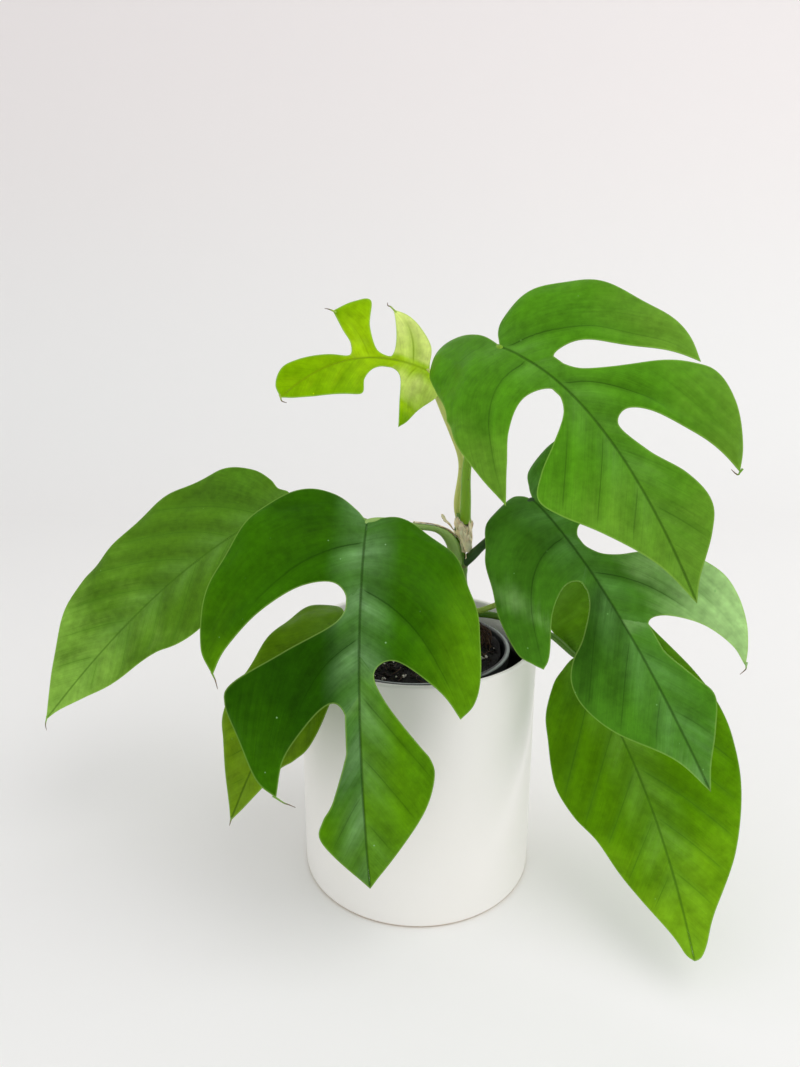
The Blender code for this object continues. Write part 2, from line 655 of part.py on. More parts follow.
def make_petiole_sheath(material):
    """Dried sheath lying along the upper side of one petiole, narrow at both ends."""
    sheath = PETIOLE_SHEATH
    leaf = LEAVES[sheath["leaf"]]
    path, radii = petiole_line(leaf)
    stalk = PETIOLE_SPAN * (len(leaf["petiole"]) - 1)
    index = np.arange(len(path))
    share = np.linspace(0, 1, sheath["rows"])
    place = stalk * (sheath["from"] + (sheath["to"] - sheath["from"]) * share)
    centre = np.stack([np.interp(place, index, path[:, k]) for k in range(3)], -1)
    forward = unit(np.gradient(centre, axis=0))
    across = unit(np.cross(forward, np.array([0.0, 0.0, 1.0])))
    up = np.cross(across, forward)
    width = sheath["end_share"] + (1 - sheath["end_share"]) * np.sin(np.pi * share)
    turn = np.linspace(-0.5, 0.5, sheath["columns"])[None, :]
    angle = np.radians(sheath["sweep"]) * width[:, None] * turn
    radius = (np.interp(place, index, radii) + SHEATH_CLEAR)[:, None]
    grid = (centre[:, None] + (radius * np.sin(angle))[..., None] * across[:, None]
            + (radius * np.cos(angle))[..., None] * up[:, None])
    return add_sheet("petiole_sheath", grid, material)


def main():
    """Build every piece of the potted plant."""
    clear_scene()
    skins = {name: make_material(name, *value) for name, value in COLOURS.items()}
    make_cover_pot(skins["glazed_ceramic"])
    make_nursery_pot(skins["black_plastic"])
    make_soil(skins["potting_soil"])
    path, radii = stem_line()
    add_tube("stem", path, radii, STEM_SIDES, skins["stem_skin"])
    room_path, room_radii = stem_line(GAP)
    stem_room = add_tube("stem_room", room_path, room_radii, STEM_SIDES, None, guide=True)
    for name, leaf in LEAVES.items():
        make_leaf(name, leaf, stem_room)
    make_shoot(skins["shoot_skin"], stem_room)
    make_stem_sheath(skins["dried_sheath"])
    make_petiole_sheath(skins["dried_sheath"])


main()
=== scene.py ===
"""Potted mini monstera: every surface of the plant, its soil, its two pots and a plain studio.

Lengths in the tables are millimetres. +Z is up, the plant is seen from -Y, and the origin is
the middle of the cover pot's foot.
"""

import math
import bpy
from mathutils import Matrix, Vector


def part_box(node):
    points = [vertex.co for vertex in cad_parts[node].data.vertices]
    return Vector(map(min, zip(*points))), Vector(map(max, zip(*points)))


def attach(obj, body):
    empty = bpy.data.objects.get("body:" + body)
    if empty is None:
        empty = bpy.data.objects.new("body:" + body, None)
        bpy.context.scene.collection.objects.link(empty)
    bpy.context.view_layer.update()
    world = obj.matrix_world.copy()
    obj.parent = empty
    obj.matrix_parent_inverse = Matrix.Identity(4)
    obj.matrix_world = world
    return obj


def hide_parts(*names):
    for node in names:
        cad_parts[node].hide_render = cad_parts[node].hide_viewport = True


bl_info = {
    "name": "Potted Mini Monstera",
    "version": (1, 0, 0),
    "blender": (4, 5, 0),
    "location": "View3D > Sidebar > Monstera",
    "description": "Builds the leaves, stem, soil, pots and studio of a potted mini monstera",
    "category": "Add Mesh",
}

from functools import partial

import bmesh
import bpy
import numpy as np
from bpy.props import FloatProperty, FloatVectorProperty, IntProperty, PointerProperty

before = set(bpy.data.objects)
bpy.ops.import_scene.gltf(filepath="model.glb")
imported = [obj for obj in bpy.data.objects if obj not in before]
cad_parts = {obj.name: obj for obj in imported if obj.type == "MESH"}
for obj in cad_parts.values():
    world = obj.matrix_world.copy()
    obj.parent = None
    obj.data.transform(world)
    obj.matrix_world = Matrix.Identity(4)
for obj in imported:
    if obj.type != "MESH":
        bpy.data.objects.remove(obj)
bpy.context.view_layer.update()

# One millimetre in metres, how near points in millimetres are merged, and names in Blender.
MM = 0.001
WELD = 0.004
ATTRIBUTE_KINDS = {3: ("FLOAT_VECTOR", "vector"), 4: ("FLOAT_COLOR", "color")}
NODE_MENUS = {"Attribute": "attribute_name", "MapRange": "interpolation_type",
              "Math": "operation", "Mix": "data_type", "VectorMath": "operation"}

# The two pots and the soil.
POT_WALL = 2.6
POT_FLOOR = 6.0
FLOOR_ROUND = 5.0
RIM_ROUND = 1.3
FOOT_ROUND = 1.6
PROFILE_STEP = 3.0

NURSERY_CENTRE = (-1.5, 4.0)
NURSERY_RIM_RADIUS = 47.5
NURSERY_BASE_RADIUS = 37.0
NURSERY_WALL = 1.2
NURSERY_RIM_WIDTH = 2.4
NURSERY_RIM_HEIGHT = 8.0
DRAIN_HOLES = 6
DRAIN_RADIUS = 4.0
DRAIN_CIRCLE = 24.0
OVAL = 0.028
SOIL_TOP = 117.6
SOIL_BUMP = 1.3
SOIL_WAVES = ((0.31, 0.12, 0.0), (-0.09, 0.37, 1.1), (0.23, 0.23, 2.3))
MOUND_HEIGHT = 1.5
MOUND_SPREAD = 22.0
FIBRE_POINTS = 9
STEM_CLEAR = 5.5

# The stem, its nodes as height and swelling, its root stubs as height and turn in degrees, and
# the dry roots that hang from it.
STEM_PATH = ((24, 9, 84), (24.5, 8, 112), (24.3, 4, 138), (20.5, 1, 163), (21.6, 2, 190))
STEM_RADII = (3.4, 3.5, 3.3, 3.1, 2.7)
STEM_NODES = ((112, 1.0), (139, 1.1), (163, 1.2), (184, 0.7))
NODE_HALF_LENGTH = 5.0
ROOT_STUBS = ((139, 100), (139, 150), (163, 60), (163, 205), (112, 250), (112, 20))
ROOT_START = (26.5, 5.0, 137.0)
ROOT_COUNT = 22
ROOT_POINTS = 18

# The dried sheath: each flap as its middle and sweep in degrees, its heights, how far its top
# stands off the stem's middle, and the phase of its ripples.
PAPER_WALL = 0.3
SHEATH_RADIUS = 3.6
SHEATH_FOOT = (23.0, 1.5, 172.0)
SHEATH_LEAN = 0.12
SHEATH_FLAPS = (((-80, 85), (171.5, 186), 4.6, 0.4), ((-28, 70), (171, 188.5), 4.8, 1.9),
                ((-118, 60), (176, 190), 5.0, 3.1), ((-55, 50), (173, 182.5), 5.4, 4.3),
                ((-95, 45), (179, 188), 5.9, 0.9), ((40, 80), (172, 187), 4.8, 5.2),
                ((-172, 55), (180, 190.5), 9.5, 2.2))

# The leaves' two halves, how their sheets are laid out, and the rib under the blade as shares
# of its length and of the petiole's radius.
SIDES = (1, -1)
LEAN_REACH = 10.0
CURL_REACH = 50.0
FAN_START = 25.0
SHARED_ROWS = 8
SPLIT_FADE = 18
MARGIN_POINTS = 400
LOBE_GATHER = 0.55
LAST_GATHER = 0.27
EDGE_SPAN = 24
PETIOLE_FOOT = 1.25
RIB = ((0.0, 0.85), (0.035, 0.8), (0.08, 0.72), (0.2, 0.55), (0.3, 0.48), (0.4, 0.42), (0.52, 0.35),
       (0.65, 0.28), (0.79, 0.19), (0.92, 0.1))

# The reach of the attributes on a blade, and the heights of its relief.
RIB_REACH = 60.0
MARGIN_REACH = 10.0
RIB_CREASE = 0.8
VEIN_CREASE = 1.1
SWELL = 0.85
PUCKER = 0.06
EDGE_WAVE = 1.1
EDGE_ROLL = 0.4

# The young shoot, and colours that the sidebar doesn't show.
SHOOT_PATH = ((25, 1, 138), (30.6, -1, 140.3), (38, -1, 143), (47.4, 1, 147), (58, 4, 158),
              (66, 7, 172), (70, 8, 190))
SHOOT_RADII = (1.5, 1.5, 1.4, 1.4, 2.0, 1.8, 0.5)
SHOOT_GREEN = "#8FAE3A"
SHOOT_PALE = "#B9CB6A"
PALE_MARGIN_AND_HIGHLIGHT = "#A4C860"
THIN_GLAZE = (0.985, 0.975, 0.95)
BACKDROP = "#F3EDEC"

# The studio in metres: each light as its place, what it faces and its width.
ROOM_LIGHT = (0.97, 0.985, 1.0, 1.0)
IMAGE_SIZE = (800, 1067)
CAMERA_PLACE = (-0.007, -0.377, 0.290)
CAMERA_DOWN = 16.2
CAMERA_TURN = 0.3
LIGHTS = {"key": ((0.5, -0.55, 1.25), (0.0, 0.0, 0.12), 1.1),
          "fill": ((1.3, 0.1, 0.8), (0.0, 0.5, 0.2), 1.2),
          "side": ((-1.1, -0.8, 0.7), (-0.1, 0.0, 0.08), 1.2)}


def lobe(out, tip, back=(), slit=None, foot=None, drip=(), vein=None, tone=0.0, ripe=None):
    """One lobe: its rear edge, its tip, its front edge, the split that ends it, and its looks.

    Points are (distance along the midrib, distance out from it). The split's inner end is
    slit, and foot is where the vein along the split leaves the midrib. A drip tip is a thin
    tail that runs from the tip through the points of drip. The main vein leaves the midrib
    at vein's first number and runs forwards by its second per distance out. A lobe is
    yellower than the rest of its leaf where tone is above 0, and deeper green below 0. Its
    tip has the tone ripe, which is tone itself, or 0 in a last lobe, unless it is given.
    """
    if ripe is None:
        ripe = tone if slit else 0.0
    return {"out": out, "tip": tip, "back": back, "slit": slit, "foot": foot, "drip": drip,
            "vein": vein, "tone": tone, "ripe": ripe}


# Halves are the lobes on the two sides of the midrib, from the petiole on.
# The midrib is a parabola through the spine's three points, and the blade faces the first way of
# face at its base and the second at its tip. Fold is the angle in degrees at which the halves
# rise from the midrib, and curl is how far they bend back over 50 mm. Lean is how far each half
# crosses the midrib's line behind the petiole. Laterals is the distance between side veins.
# Radius is the petiole's, foot its swelling at the stem, pale how much lighter its groove is,
# and stripe how brown. Basal is how much painted sheen and painted light the lobe behind the
# petiole gets. The skin's colours are those of old parts, tips, the painted sheen along the
# midrib, the petiole and the vein grooves, whose colour is also the painted shade beside and
# along the sunk veins.
LEAVES = {
    "leaf_front_left": {
        "spine": ((-23, -46, 199), (-25, -84, 141), (-21, -96, 53)),
        "length": 160,
        "face": ((0.15, -1, 0.5), (0.15, -1, 0.2)),
        "fold": 8,
        "curl": 22,
        "halves": (
            [
                lobe([(-6, 5), (-12, 15), (-12, 29), (-4, 42), (17, 55), (46, 65), (64, 65)], (75, 59),
                     [(64, 54), (49, 40), (38, 26), (35, 12)], (42, 6), 36,
                     ((77, 58), (80.4, 57)), (12, 0.5), -0.3),
                lobe([(53, 10), (66, 31), (78, 51), (86, 54), (98, 50), (114, 43)], (121, 35),
                     [(107, 31), (93, 20), (87, 11)], (92, 6), 84, ((123, 32), (123.8, 30), (125, 27.5)),
                     (59, 0.7), -0.8),
                lobe([(103, 5), (124, 12), (131, 17), (137, 19), (146, 13)], (160, 0), tone=-0.5,
                     ripe=-0.25),
            ],
            [
                lobe([(-3, 5), (-5, 14), (0, 25), (13, 39), (32, 47), (61, 52), (79, 51), (91, 48)],
                     (97, 42), [(84, 33), (72, 19), (70, 11)], (76, 6), 68, (), (36.5, 0.65), 0.05),
                lobe([(88, 11), (106, 24), (113, 29), (120, 30), (132, 25), (147, 13)], (160, 0)),
            ],
        ),
        "petiole": ((19.8, 0, 163), (16.2, -3, 177), (8.6, -12, 186), (-4.3, -27, 191.9),
                    (-16, -42, 198.3)),
        "radius": 1.6,
        "laterals": 25,
        "foot": 2.1,
        "pale": 1.2,
        "slot": "dark_leaf",
        "skin": {"deep": "#1A4201", "tip": "#588A08", "sheen": "#80A674", "stalk": "#86A852"},
    },
    "leaf_back_left": {
        "spine": ((-68, 22, 189), (-133, 20, 145), (-193, -5, 81)),
        "length": 171,
        "face": ((-0.3, -1, 0.8), (-0.4, -1, 0.6)),
        "fold": 6,
        "curl": 10,
        "halves": (
            [lobe([(-4, 6), (1.5, 11), (4, 17), (11, 27), (19, 33.6), (27, 37.3), (36, 39.3), (48, 41.8),
                   (60, 43.9), (76, 44), (94, 42.3), (106, 39.8), (116, 40.5), (127, 37.3),
                   (135, 32.2), (146, 22), (156, 14), (166, 5)], (171, 0),
                  drip=((173, -1.5), (174.5, -4)), tone=-0.25, ripe=-0.15)],
            [lobe([(-4, 9), (6, 20), (24, 29), (50, 33), (82, 32.6), (98, 31), (110, 26), (123, 21.8),
                   (140, 18), (153, 10.5), (164, 3)], (171, 0), tone=-0.25, ripe=-0.15)],
        ),
        "petiole": ((24, 4, 150), (4, 18, 164), (-24, 26, 178), (-52, 26, 186)),
        "radius": 1.7,
        "laterals": 24,
        "slot": "mid_leaf",
        "skin": {"deep": "#54861E", "tip": "#8EBC4A", "sheen": "#66903F", "stalk": "#6E8C3C"},
    },
    "leaf_low_left": {
        "spine": ((-40, -25, 140), (-63, -53, 112), (-86, -63, 62)),
        "length": 103,
        "face": ((-0.6, -1, 0.5), (-0.6, -1, 0.5)),
        "fold": 6,
        "curl": 12,
        "halves": (
            [lobe([(-13, 2.5), (-18.5, 7.5), (-19, 14), (-14, 21), (-5, 25), (9, 26.8), (29, 27), (56, 27),
                   (69, 26), (77, 21), (86, 14.3), (95, 6.5)], (103, 0), drip=((105, -0.3),))],
            [lobe([(-9, 4), (-9, 10), (0, 16), (18, 20.5), (38, 21), (56, 23), (65, 19.3), (72, 14),
                   (83, 9.3), (95, 4)], (103, 0))],
        ),
        "petiole": ((24.5, 6, 128), (8, 0, 134), (-12, -9, 140), (-31, -17, 141)),
        "radius": 1.5,
        "laterals": 18,
        "slot": "mid_leaf",
        "skin": {"deep": "#386101", "tip": "#6A8C12", "sheen": "#5F8630", "stalk": "#6E8C3C"},
    },
    "leaf_new_top": {
        "spine": ((5, 13.5, 257.5), (-30.5, -2, 264.5), (-63, -12, 248)),
        "length": 77,
        "face": ((0, -1, 0.3), (-0.1, -1, 0.4)),
        "fold": 10,
        "curl": 4,
        "halves": (
            [
                lobe([(1, 3.5), (3, 11), (9, 17), (15, 21)], (20.5, 22.5),
                     [(19.5, 18), (18, 9), (18.2, 3.4)],
                     (20.5, 1.2), 17, ((21.6, 23.6), (22.6, 24), (22.8, 25.3)),
                     (8, 0.3), -1.6, -1.6),
                lobe([(26.5, 4), (29, 14), (28, 26), (34, 26)], (42, 23), [(40, 14), (38, 7)], (40, 2), 38,
                     ((43, 24), (44.5, 25)), (29, 0.3), -0.2),
                lobe([(49, 5), (62, 9), (69, 10), (75, 6)], (77, 0),
                     drip=((77.6, -1.5), (76.6, -3.6)), tone=0.2),
            ],
            [
                lobe([(-5, 5), (-7, 10), (1, 21), (7, 28)], (13, 32), [(14, 21), (14, 8)], (19, 4), 15,
                     tone=-0.5, ripe=0.1),
                lobe([(28, 5), (35, 10), (39, 17), (50, 16), (63, 11), (72, 5)], (77, 0), tone=0.2),
            ],
        ),
        "petiole": ((20.3, 5.6, 186), (19.2, 6.2, 195), (21.2, 8.5, 214), (16.2, 12.5, 229.5),
                    (9, 16.3, 246.5)),
        "radius": 1.7,
        "foot": 1.0,
        "pale": 1.25,
        "laterals": 17,
        "slot": "new_leaf",
        "skin": {"deep": "#E0EE88", "tip": "#78A800", "sheen": "#AECE10", "stalk": "#C0C86C",
                 "groove": "#9CC20C"},
    },
    "leaf_top_right": {
        "spine": ((34, -24, 271), (71, -60, 242), (109, -80, 175)),
        "length": 140,
        "face": ((-0.25, -1, 0.6), (-0.2, -1, 0.6)),
        "lean": (7, 0),
        "fold": 8,
        "curl": 18,
        "halves": (
            [
                lobe([(-8, 1.4), (-21, 1.5), (-34, 2.6), (-45, 6), (-50, 12), (-46, 21), (-27, 34.5),
                      (0, 40), (29, 48), (55, 50)], (75, 49),
                     [(59, 39), (44, 29), (36, 15)], (42, 4), 34, (), (19, -0.1)),
                lobe([(54, 7), (64, 19), (72, 30), (81, 37), (92, 33), (106, 22), (124, 8)], (140, 0),
                     tone=-0.2),
            ],
            [
                lobe([(-7, 7), (-8, 15), (-1.5, 30.5), (11, 41.5), (30, 48), (48, 51), (61, 51)], (71, 48),
                     [(58, 37), (45, 27), (32, 16)], (30, 7), 24, (), (3, 1.1)),
                lobe([(44, 10), (56, 25), (69, 44), (77, 51), (89, 49), (102, 42)], (109, 36),
                     [(93, 30), (77, 20), (70, 12)], (74, 6), 66, ((109.4, 34.8), (108.5, 34), (107, 33.4)),
                     (41, 1.15)),
                lobe([(88, 10), (101, 18), (113, 21), (122, 16), (133, 5)], (140, 0), tone=-0.2),
            ],
        ),
        "petiole": ((22.9, 0.3, 186), (22.9, 0, 196), (23.2, 0, 215), (27.5, -2, 240), (32, -10, 262),
                    (33, -18, 269)),
        "radius": 2.2,
        "pale": 1.2,
        "laterals": 24,
        "slot": "mid_leaf",
        "skin": {"deep": "#2F5A0D", "tip": "#649228", "sheen": "#5E8A3C", "stalk": "#74A20A"},
    },
    "leaf_middle_right": {
        "spine": ((53, -14, 201), (83, -54, 164), (122, -84, 92)),
        "length": 150,
        "face": ((-0.3, -1, 0.5), (-0.25, -1, 0.5)),
        "fold": 8,
        "curl": 18,
        "halves": (
            [
                lobe([(-8, 2), (-14, 6), (-14, 15), (-9, 25), (10, 34), (38, 42), (58, 46), (73, 46.5),
                      (81, 42.5)], (85.2, 39.5), [(81, 34.5), (65, 24), (56, 13)],
                     (59, 6), 52, (), (33, 0.1), -0.15, -0.75),
                lobe([(69, 8), (81, 18), (88, 27), (96, 32), (107, 32), (120, 25), (136, 8)], (150, 0),
                     tone=-0.8, ripe=-0.5),
            ],
            [
                lobe([(-9, 3), (-19, 9), (-20, 22), (-12, 36), (5, 47), (27, 54), (50, 56)], (64, 46),
                     [(55, 33), (45, 23), (36, 14), (33, 8.5), (36.3, 4.8)], (41.5, 4.3), 31),
                lobe([(46, 5.2), (52, 8.5), (57, 14.5), (61.5, 23), (71, 38), (83, 45.5), (94, 47),
                      (104, 45), (112, 40.3)], (117.3, 35.5), [(109, 34.7), (97.5, 27.6), (88.6, 16.4)],
                     (88.5, 9), 82, ((118.2, 34.6), (118.9, 31.6)), (56.5, 0.95), 0.25, 0.6),
                lobe([(100, 9), (113, 15), (122, 19), (132, 13), (142, 5)], (150, 0), tone=-0.8,
                     ripe=-0.5),
            ],
        ),
        "petiole": ((20.5, 1, 163), (26.5, -1, 169.5), (32, -2, 175.5), (44, -8, 189), (51, -12, 198)),
        "radius": 2.1,
        "stripe": 1.0,
        "laterals": 24,
        "slot": "dark_leaf",
        # The stalk colour is painted shade: a much darker copy of the petiole's green, for the shade on
        # this petiole.
        "skin": {"deep": "#264E0E", "tip": "#A6D082", "sheen": "#6A9C54", "stalk": "#24480C"},
    },
    "leaf_low_right": {
        "spine": ((80, -10, 119), (105, -52, 72), (117, -100, 20)),
        "length": 140.5,
        "face": ((-0.3, -1, 0.5), (-0.3, -1, 0.3)),
        "lean": (0, 6),
        "fold": 6,
        "curl": 12,
        "halves": (
            [lobe([(-1, 3), (1, 9), (5.5, 17.5), (18, 28), (31, 33.3), (45, 37), (58.5, 38.8), (73, 35.6),
                   (87, 28.5), (103, 23), (116, 16.3), (131, 6.6), (138, 3)], (140.5, 0), tone=-0.25)],
            [lobe([(-8, 1), (-19, 1.8), (-32, 4), (-42, 12), (-43, 22), (-37, 31), (-24, 36), (5, 38),
                   (30, 44.5), (50, 47), (64, 45.6), (82, 40), (104, 28.4), (124.5, 12.5),
                   (135, 6.5), (139.5, 3)], (140.5, 0), tone=-0.25)],
        ),
        "petiole": ((25, 5, 137), (40, 1.5, 136.5), (54, -3, 133.3), (67, -6, 129), (77, -9, 121)),
        "radius": 1.5,
        # Painted sheen and painted light on the lobe behind the petiole.
        "basal": 0.85,
        "laterals": 23,
        "slot": "bright_leaf",
        "skin": {"deep": "#4A7C18", "tip": "#76A614", "sheen": "#76A640", "stalk": "#4C7414"},
    },
}


def linear(hex_text):
    """An sRGB hex colour as linear red, green and blue."""
    parts = [int(hex_text[k:k + 2], 16) / 255 for k in (1, 3, 5)]
    return tuple(c / 12.92 if c <= 0.04045 else ((c + 0.055) / 1.055) ** 2.4 for c in parts)


def colour_setting(name, hex_text, description):
    """A colour that the sidebar shows."""
    return FloatVectorProperty(name=name, description=description, subtype="COLOR", size=3,
                               min=0.0, max=1.0, default=linear(hex_text))


class MONSTERA_PG_pots(bpy.types.PropertyGroup):
    """Sizes and colours of the two pots and the soil."""

    radius: FloatProperty(name="Cover pot radius", description="Outside radius of the cover pot",
                          default=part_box("cover_pot")[1].x, unit="LENGTH")
    height: FloatProperty(name="Cover pot height", description="Height of the cover pot",
                          default=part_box("cover_pot")[1].z, unit="LENGTH")
    nursery_top: FloatProperty(name="Nursery pot height", description="Height of the nursery pot's rim",
                               default=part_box("nursery_pot")[1].z, unit="LENGTH")
    grains: IntProperty(name="Perlite grains", description="White grains on the soil", default=90, min=0)
    crumbs: IntProperty(name="Crumbs", description="Dark crumbs of bark and peat", default=900, min=0)
    fibres: IntProperty(name="Fibres", description="Brown coir fibres on the soil", default=110, min=0)
    glaze: colour_setting("Glaze", "#F8F6F2", "White glaze of the cover pot")
    bisque: colour_setting("Bare foot", "#C9B08C", "Unglazed clay at the foot")
    plastic: colour_setting("Plastic", "#16191A", "Black plastic of the nursery pot")
    # Partly wear and partly a painted highlight: the grey of the rim's top, strongest along its rounded
    # edges.
    rim_wear_and_highlight: colour_setting("Scuffed rim", "#9CA5A2", "Scuffed plastic on the nursery pot's rim")
    peat: colour_setting("Peat", "#080605", "Dark potting mix")
    coir: colour_setting("Coir", "#604530", "Brown fibres and bark")
    # Painted shade: the colour that the cover pot's inside wall darkens to below the rim, for the deep gap
    # between the pots.
    dust_and_painted_shade: colour_setting("Inside dust", "#2C2E28", "Dust and soil between the pots")
    perlite: colour_setting("Perlite", "#E4DFD3", "White perlite grains")


class MONSTERA_PG_plant(bpy.types.PropertyGroup):
    """Sizes and colours of the leaves, stem and sheaths."""

    step: FloatProperty(name="Leaf mesh step", description="Distance between points of a blade",
                        default=0.0009, min=0.0004, unit="LENGTH", precision=4)
    wall: FloatProperty(name="Blade thickness", description="Thickness of a blade at its middle",
                        default=0.0007, min=0.0002, unit="LENGTH", precision=4)
    margin: FloatProperty(name="Margin thickness", description="Thickness of a blade at its margin",
                          default=0.0003, min=0.0001, unit="LENGTH", precision=4)
    relief: FloatProperty(name="Vein relief", description="Share of the full depth of the veins",
                          default=1.0, min=0.0, subtype="FACTOR", max=2.0)
    leaf_front_left: colour_setting("Front left leaf", "#336602", "Dark green of an old leaf")
    leaf_back_left: colour_setting("Back left leaf", "#507B18", "Olive green of the back leaf")
    leaf_low_left: colour_setting("Low left leaf", "#527808", "Olive green of the low leaf")
    leaf_new_top: colour_setting("New leaf", "#98C20A", "Lime green of the new leaf")
    leaf_top_right: colour_setting("Top right leaf", "#508C16", "Fresh mid green of the top leaf")
    leaf_middle_right: colour_setting("Middle right leaf", "#48801C", "Bluish dark green")
    leaf_low_right: colour_setting("Low right leaf", "#558804", "Bright green of the low leaf")
    stem: colour_setting("Stem", "#547F1A", "Green skin of the stem")
    cork: colour_setting("Cork", "#5E4A30", "Brown scars and root stubs on the stem")
    straw: colour_setting("Dried sheath", "#F2E6C0", "Straw-coloured dried sheath")
    rust: colour_setting("Sheath stains", "#6E5030", "Brown stains of the dried sheath")


class MONSTERA_PG_stage(bpy.types.PropertyGroup):
    """The plain studio round the plant."""

    floor: colour_setting("Floor", "#F4F3F1", "Matt white floor and backdrop")
    key: FloatProperty(name="Key light", description="Power of the large light at the upper right",
                       default=4.6, unit="POWER")
    fill: FloatProperty(name="Fill light", description="Power of the light at the right", default=4.0,
                        unit="POWER")
    side: FloatProperty(name="Side light", description="Power of the light at the left", default=1.5,
                        unit="POWER")
    sky: FloatProperty(name="Room light", description="Strength of the even light all round",
                       default=0.745)


def add_node(tree, kind, *values, **settings):
    """Add a node and fill the inputs that it shows, in their order.

    Kind is the node's name, with the choice in its main menu after a full stop. A value is a
    number, a colour, another node's output, or a node, of which the first output is taken.
    None leaves an input as it is. Scales of noise are in patterns per metre: 260 is 4 mm.
    """
    kind, _, choice = kind.partition(".")
    made = tree.nodes.new("ShaderNode" + kind)
    if choice:
        settings[NODE_MENUS[kind]] = choice
    for key, value in settings.items():
        setattr(made, key, value)
    shown = [socket for socket in made.inputs if socket.enabled]
    for socket, value in zip(shown, values):
        if isinstance(value, bpy.types.Node):
            value = next(output for output in value.outputs if output.enabled)
        if isinstance(value, bpy.types.NodeSocket):
            tree.links.new(value, socket)
        elif value is not None:
            socket.default_value = (*value[:3], 1.0) if socket.type == "RGBA" else value
    return made


def start_material(name, roughness, **constants):
    """A material whose even values stand on its shader's own sockets, and what adds its nodes."""
    material = bpy.data.materials.new(name)
    material.use_nodes = True
    inputs = material.node_tree.nodes["Principled BSDF"].inputs
    inputs["Roughness"].default_value = roughness
    for key, value in constants.items():
        inputs[key.replace("_", " ")].default_value = value
    return material, partial(add_node, material.node_tree)


def finish_material(material, colour, height=None, strength=0.0, depth=0.3):
    """Link the colour to the shader, and a relief of the given strength and depth in mm."""
    tree = material.node_tree
    inputs = tree.nodes["Principled BSDF"].inputs
    shown = next(output for output in colour.outputs if output.enabled)
    tree.links.new(shown, inputs["Base Color"])
    if height:
        bump = add_node(tree, "Bump", strength, depth * MM, None, height)
        tree.links.new(bump.outputs["Normal"], inputs["Normal"])
    return material


def times(colour, share, more=0.0):
    """A colour made darker or lighter, never past white."""
    return [min(1.0, c * share + more) for c in colour]


def glazed_ceramic(pots):
    """White glazed earthenware, dipped and fired: a smooth soft gloss that pools a little
    thinner and warmer on the rim, over a bare clay foot. Inside, below the rim, the glaze is
    darkened by painted shade, for the deep gap between the two pots where light hardly reaches."""
    material, node = start_material("white_glazed_earthenware", 0.34, IOR=1.5,
                                    Specular_IOR_Level=0.35)
    place = node("TexCoord").outputs["Object"]
    height = node("SeparateXYZ", place).outputs["Z"]
    cloud = node("TexNoise", place, 18.0, 3.0)
    warm = node("Mix.RGBA", cloud, pots.glaze, [c * k for c, k in zip(pots.glaze, THIN_GLAZE)])
    foot = node("MapRange", height, 1.2 * MM, 0.4 * MM)
    body = node("Mix.RGBA", foot, warm, pots.bisque)
    level = node("VectorMath.MULTIPLY", place, (1.0, 1.0, 0.0))
    radius = node("VectorMath.LENGTH", level)
    # Painted shade: on the inside of the wall, from 14 to 22 mm below the rim, the glaze darkens to a dark
    # grey-green, standing in for the shade deep in the gap between the pots.
    inside = node("MapRange", radius, pots.radius - 1.2 * MM, pots.radius - 1.7 * MM)
    depth = node("MapRange.SMOOTHSTEP", height, pots.height - 14 * MM, pots.height - 22 * MM)
    painted_shade_inside = node("Math.MULTIPLY", inside, depth)
    full = node("Mix.RGBA", painted_shade_inside, body, pots.dust_and_painted_shade)
    orange_peel = node("TexNoise", place, 260.0, 2.0)
    return finish_material(material, full, orange_peel, 0.12, 0.4)


def black_plastic(pots):
    """Black polypropylene, injection moulded: satin with fine scratches, and a rim whose top is pale
    grey, faintly across it from wear by handling and lime, and fully along both its rounded edges
    as a painted highlight where they catch the light."""
    material, node = start_material("moulded_black_polypropylene", 0.42, IOR=1.49)
    place = node("TexCoord").outputs["Object"]
    height = node("SeparateXYZ", place).outputs["Z"]
    moved = node("VectorMath.ADD", place, (-NURSERY_CENTRE[0] * MM, -NURSERY_CENTRE[1] * MM, 0.0))
    level = node("VectorMath.MULTIPLY", moved, (1.0, 1.0, 0.0))
    radius = node("VectorMath.LENGTH", level)
    # Painted highlight: the rim's top turns pale grey along both its rounded edges, where they catch the
    # light, and only faintly between them, for wear.
    off = node("Math.SUBTRACT", radius, (NURSERY_RIM_RADIUS - NURSERY_RIM_WIDTH / 2) * MM)
    away = node("Math.ABSOLUTE", off)
    edge = node("MapRange.SMOOTHSTEP", away, 0.7 * MM, 1.2 * MM, 0.12, 1.0)
    dust_and_painted_shade = node("TexNoise", place, 140.0, 6.0)
    rim_top_mask = node("MapRange", height, pots.nursery_top - 1.4 * MM, pots.nursery_top - 0.6 * MM)
    wear_and_highlight = node("Math.MULTIPLY", rim_top_mask, edge)
    film = node("Math.MULTIPLY_ADD", dust_and_painted_shade, 0.05, wear_and_highlight, use_clamp=True)
    mix = node("Mix.RGBA", film, pots.plastic, pots.rim_wear_and_highlight)
    return finish_material(material, mix, dust_and_painted_shade, 0.25)


def crumbly_mix(name, dark, light, scale, roughness):
    """Peat, bark, coir or perlite: rough and matt, each grain a little lighter or darker."""
    material, node = start_material(name, roughness)
    place = node("TexCoord").outputs["Object"]
    grain = node("TexNoise", place, scale, 5.0, 0.65)
    ramp = node("MapRange", grain, 0.35, 0.75)
    mix = node("Mix.RGBA", ramp, dark, light)
    return finish_material(material, mix, grain, 0.8, 0.6)


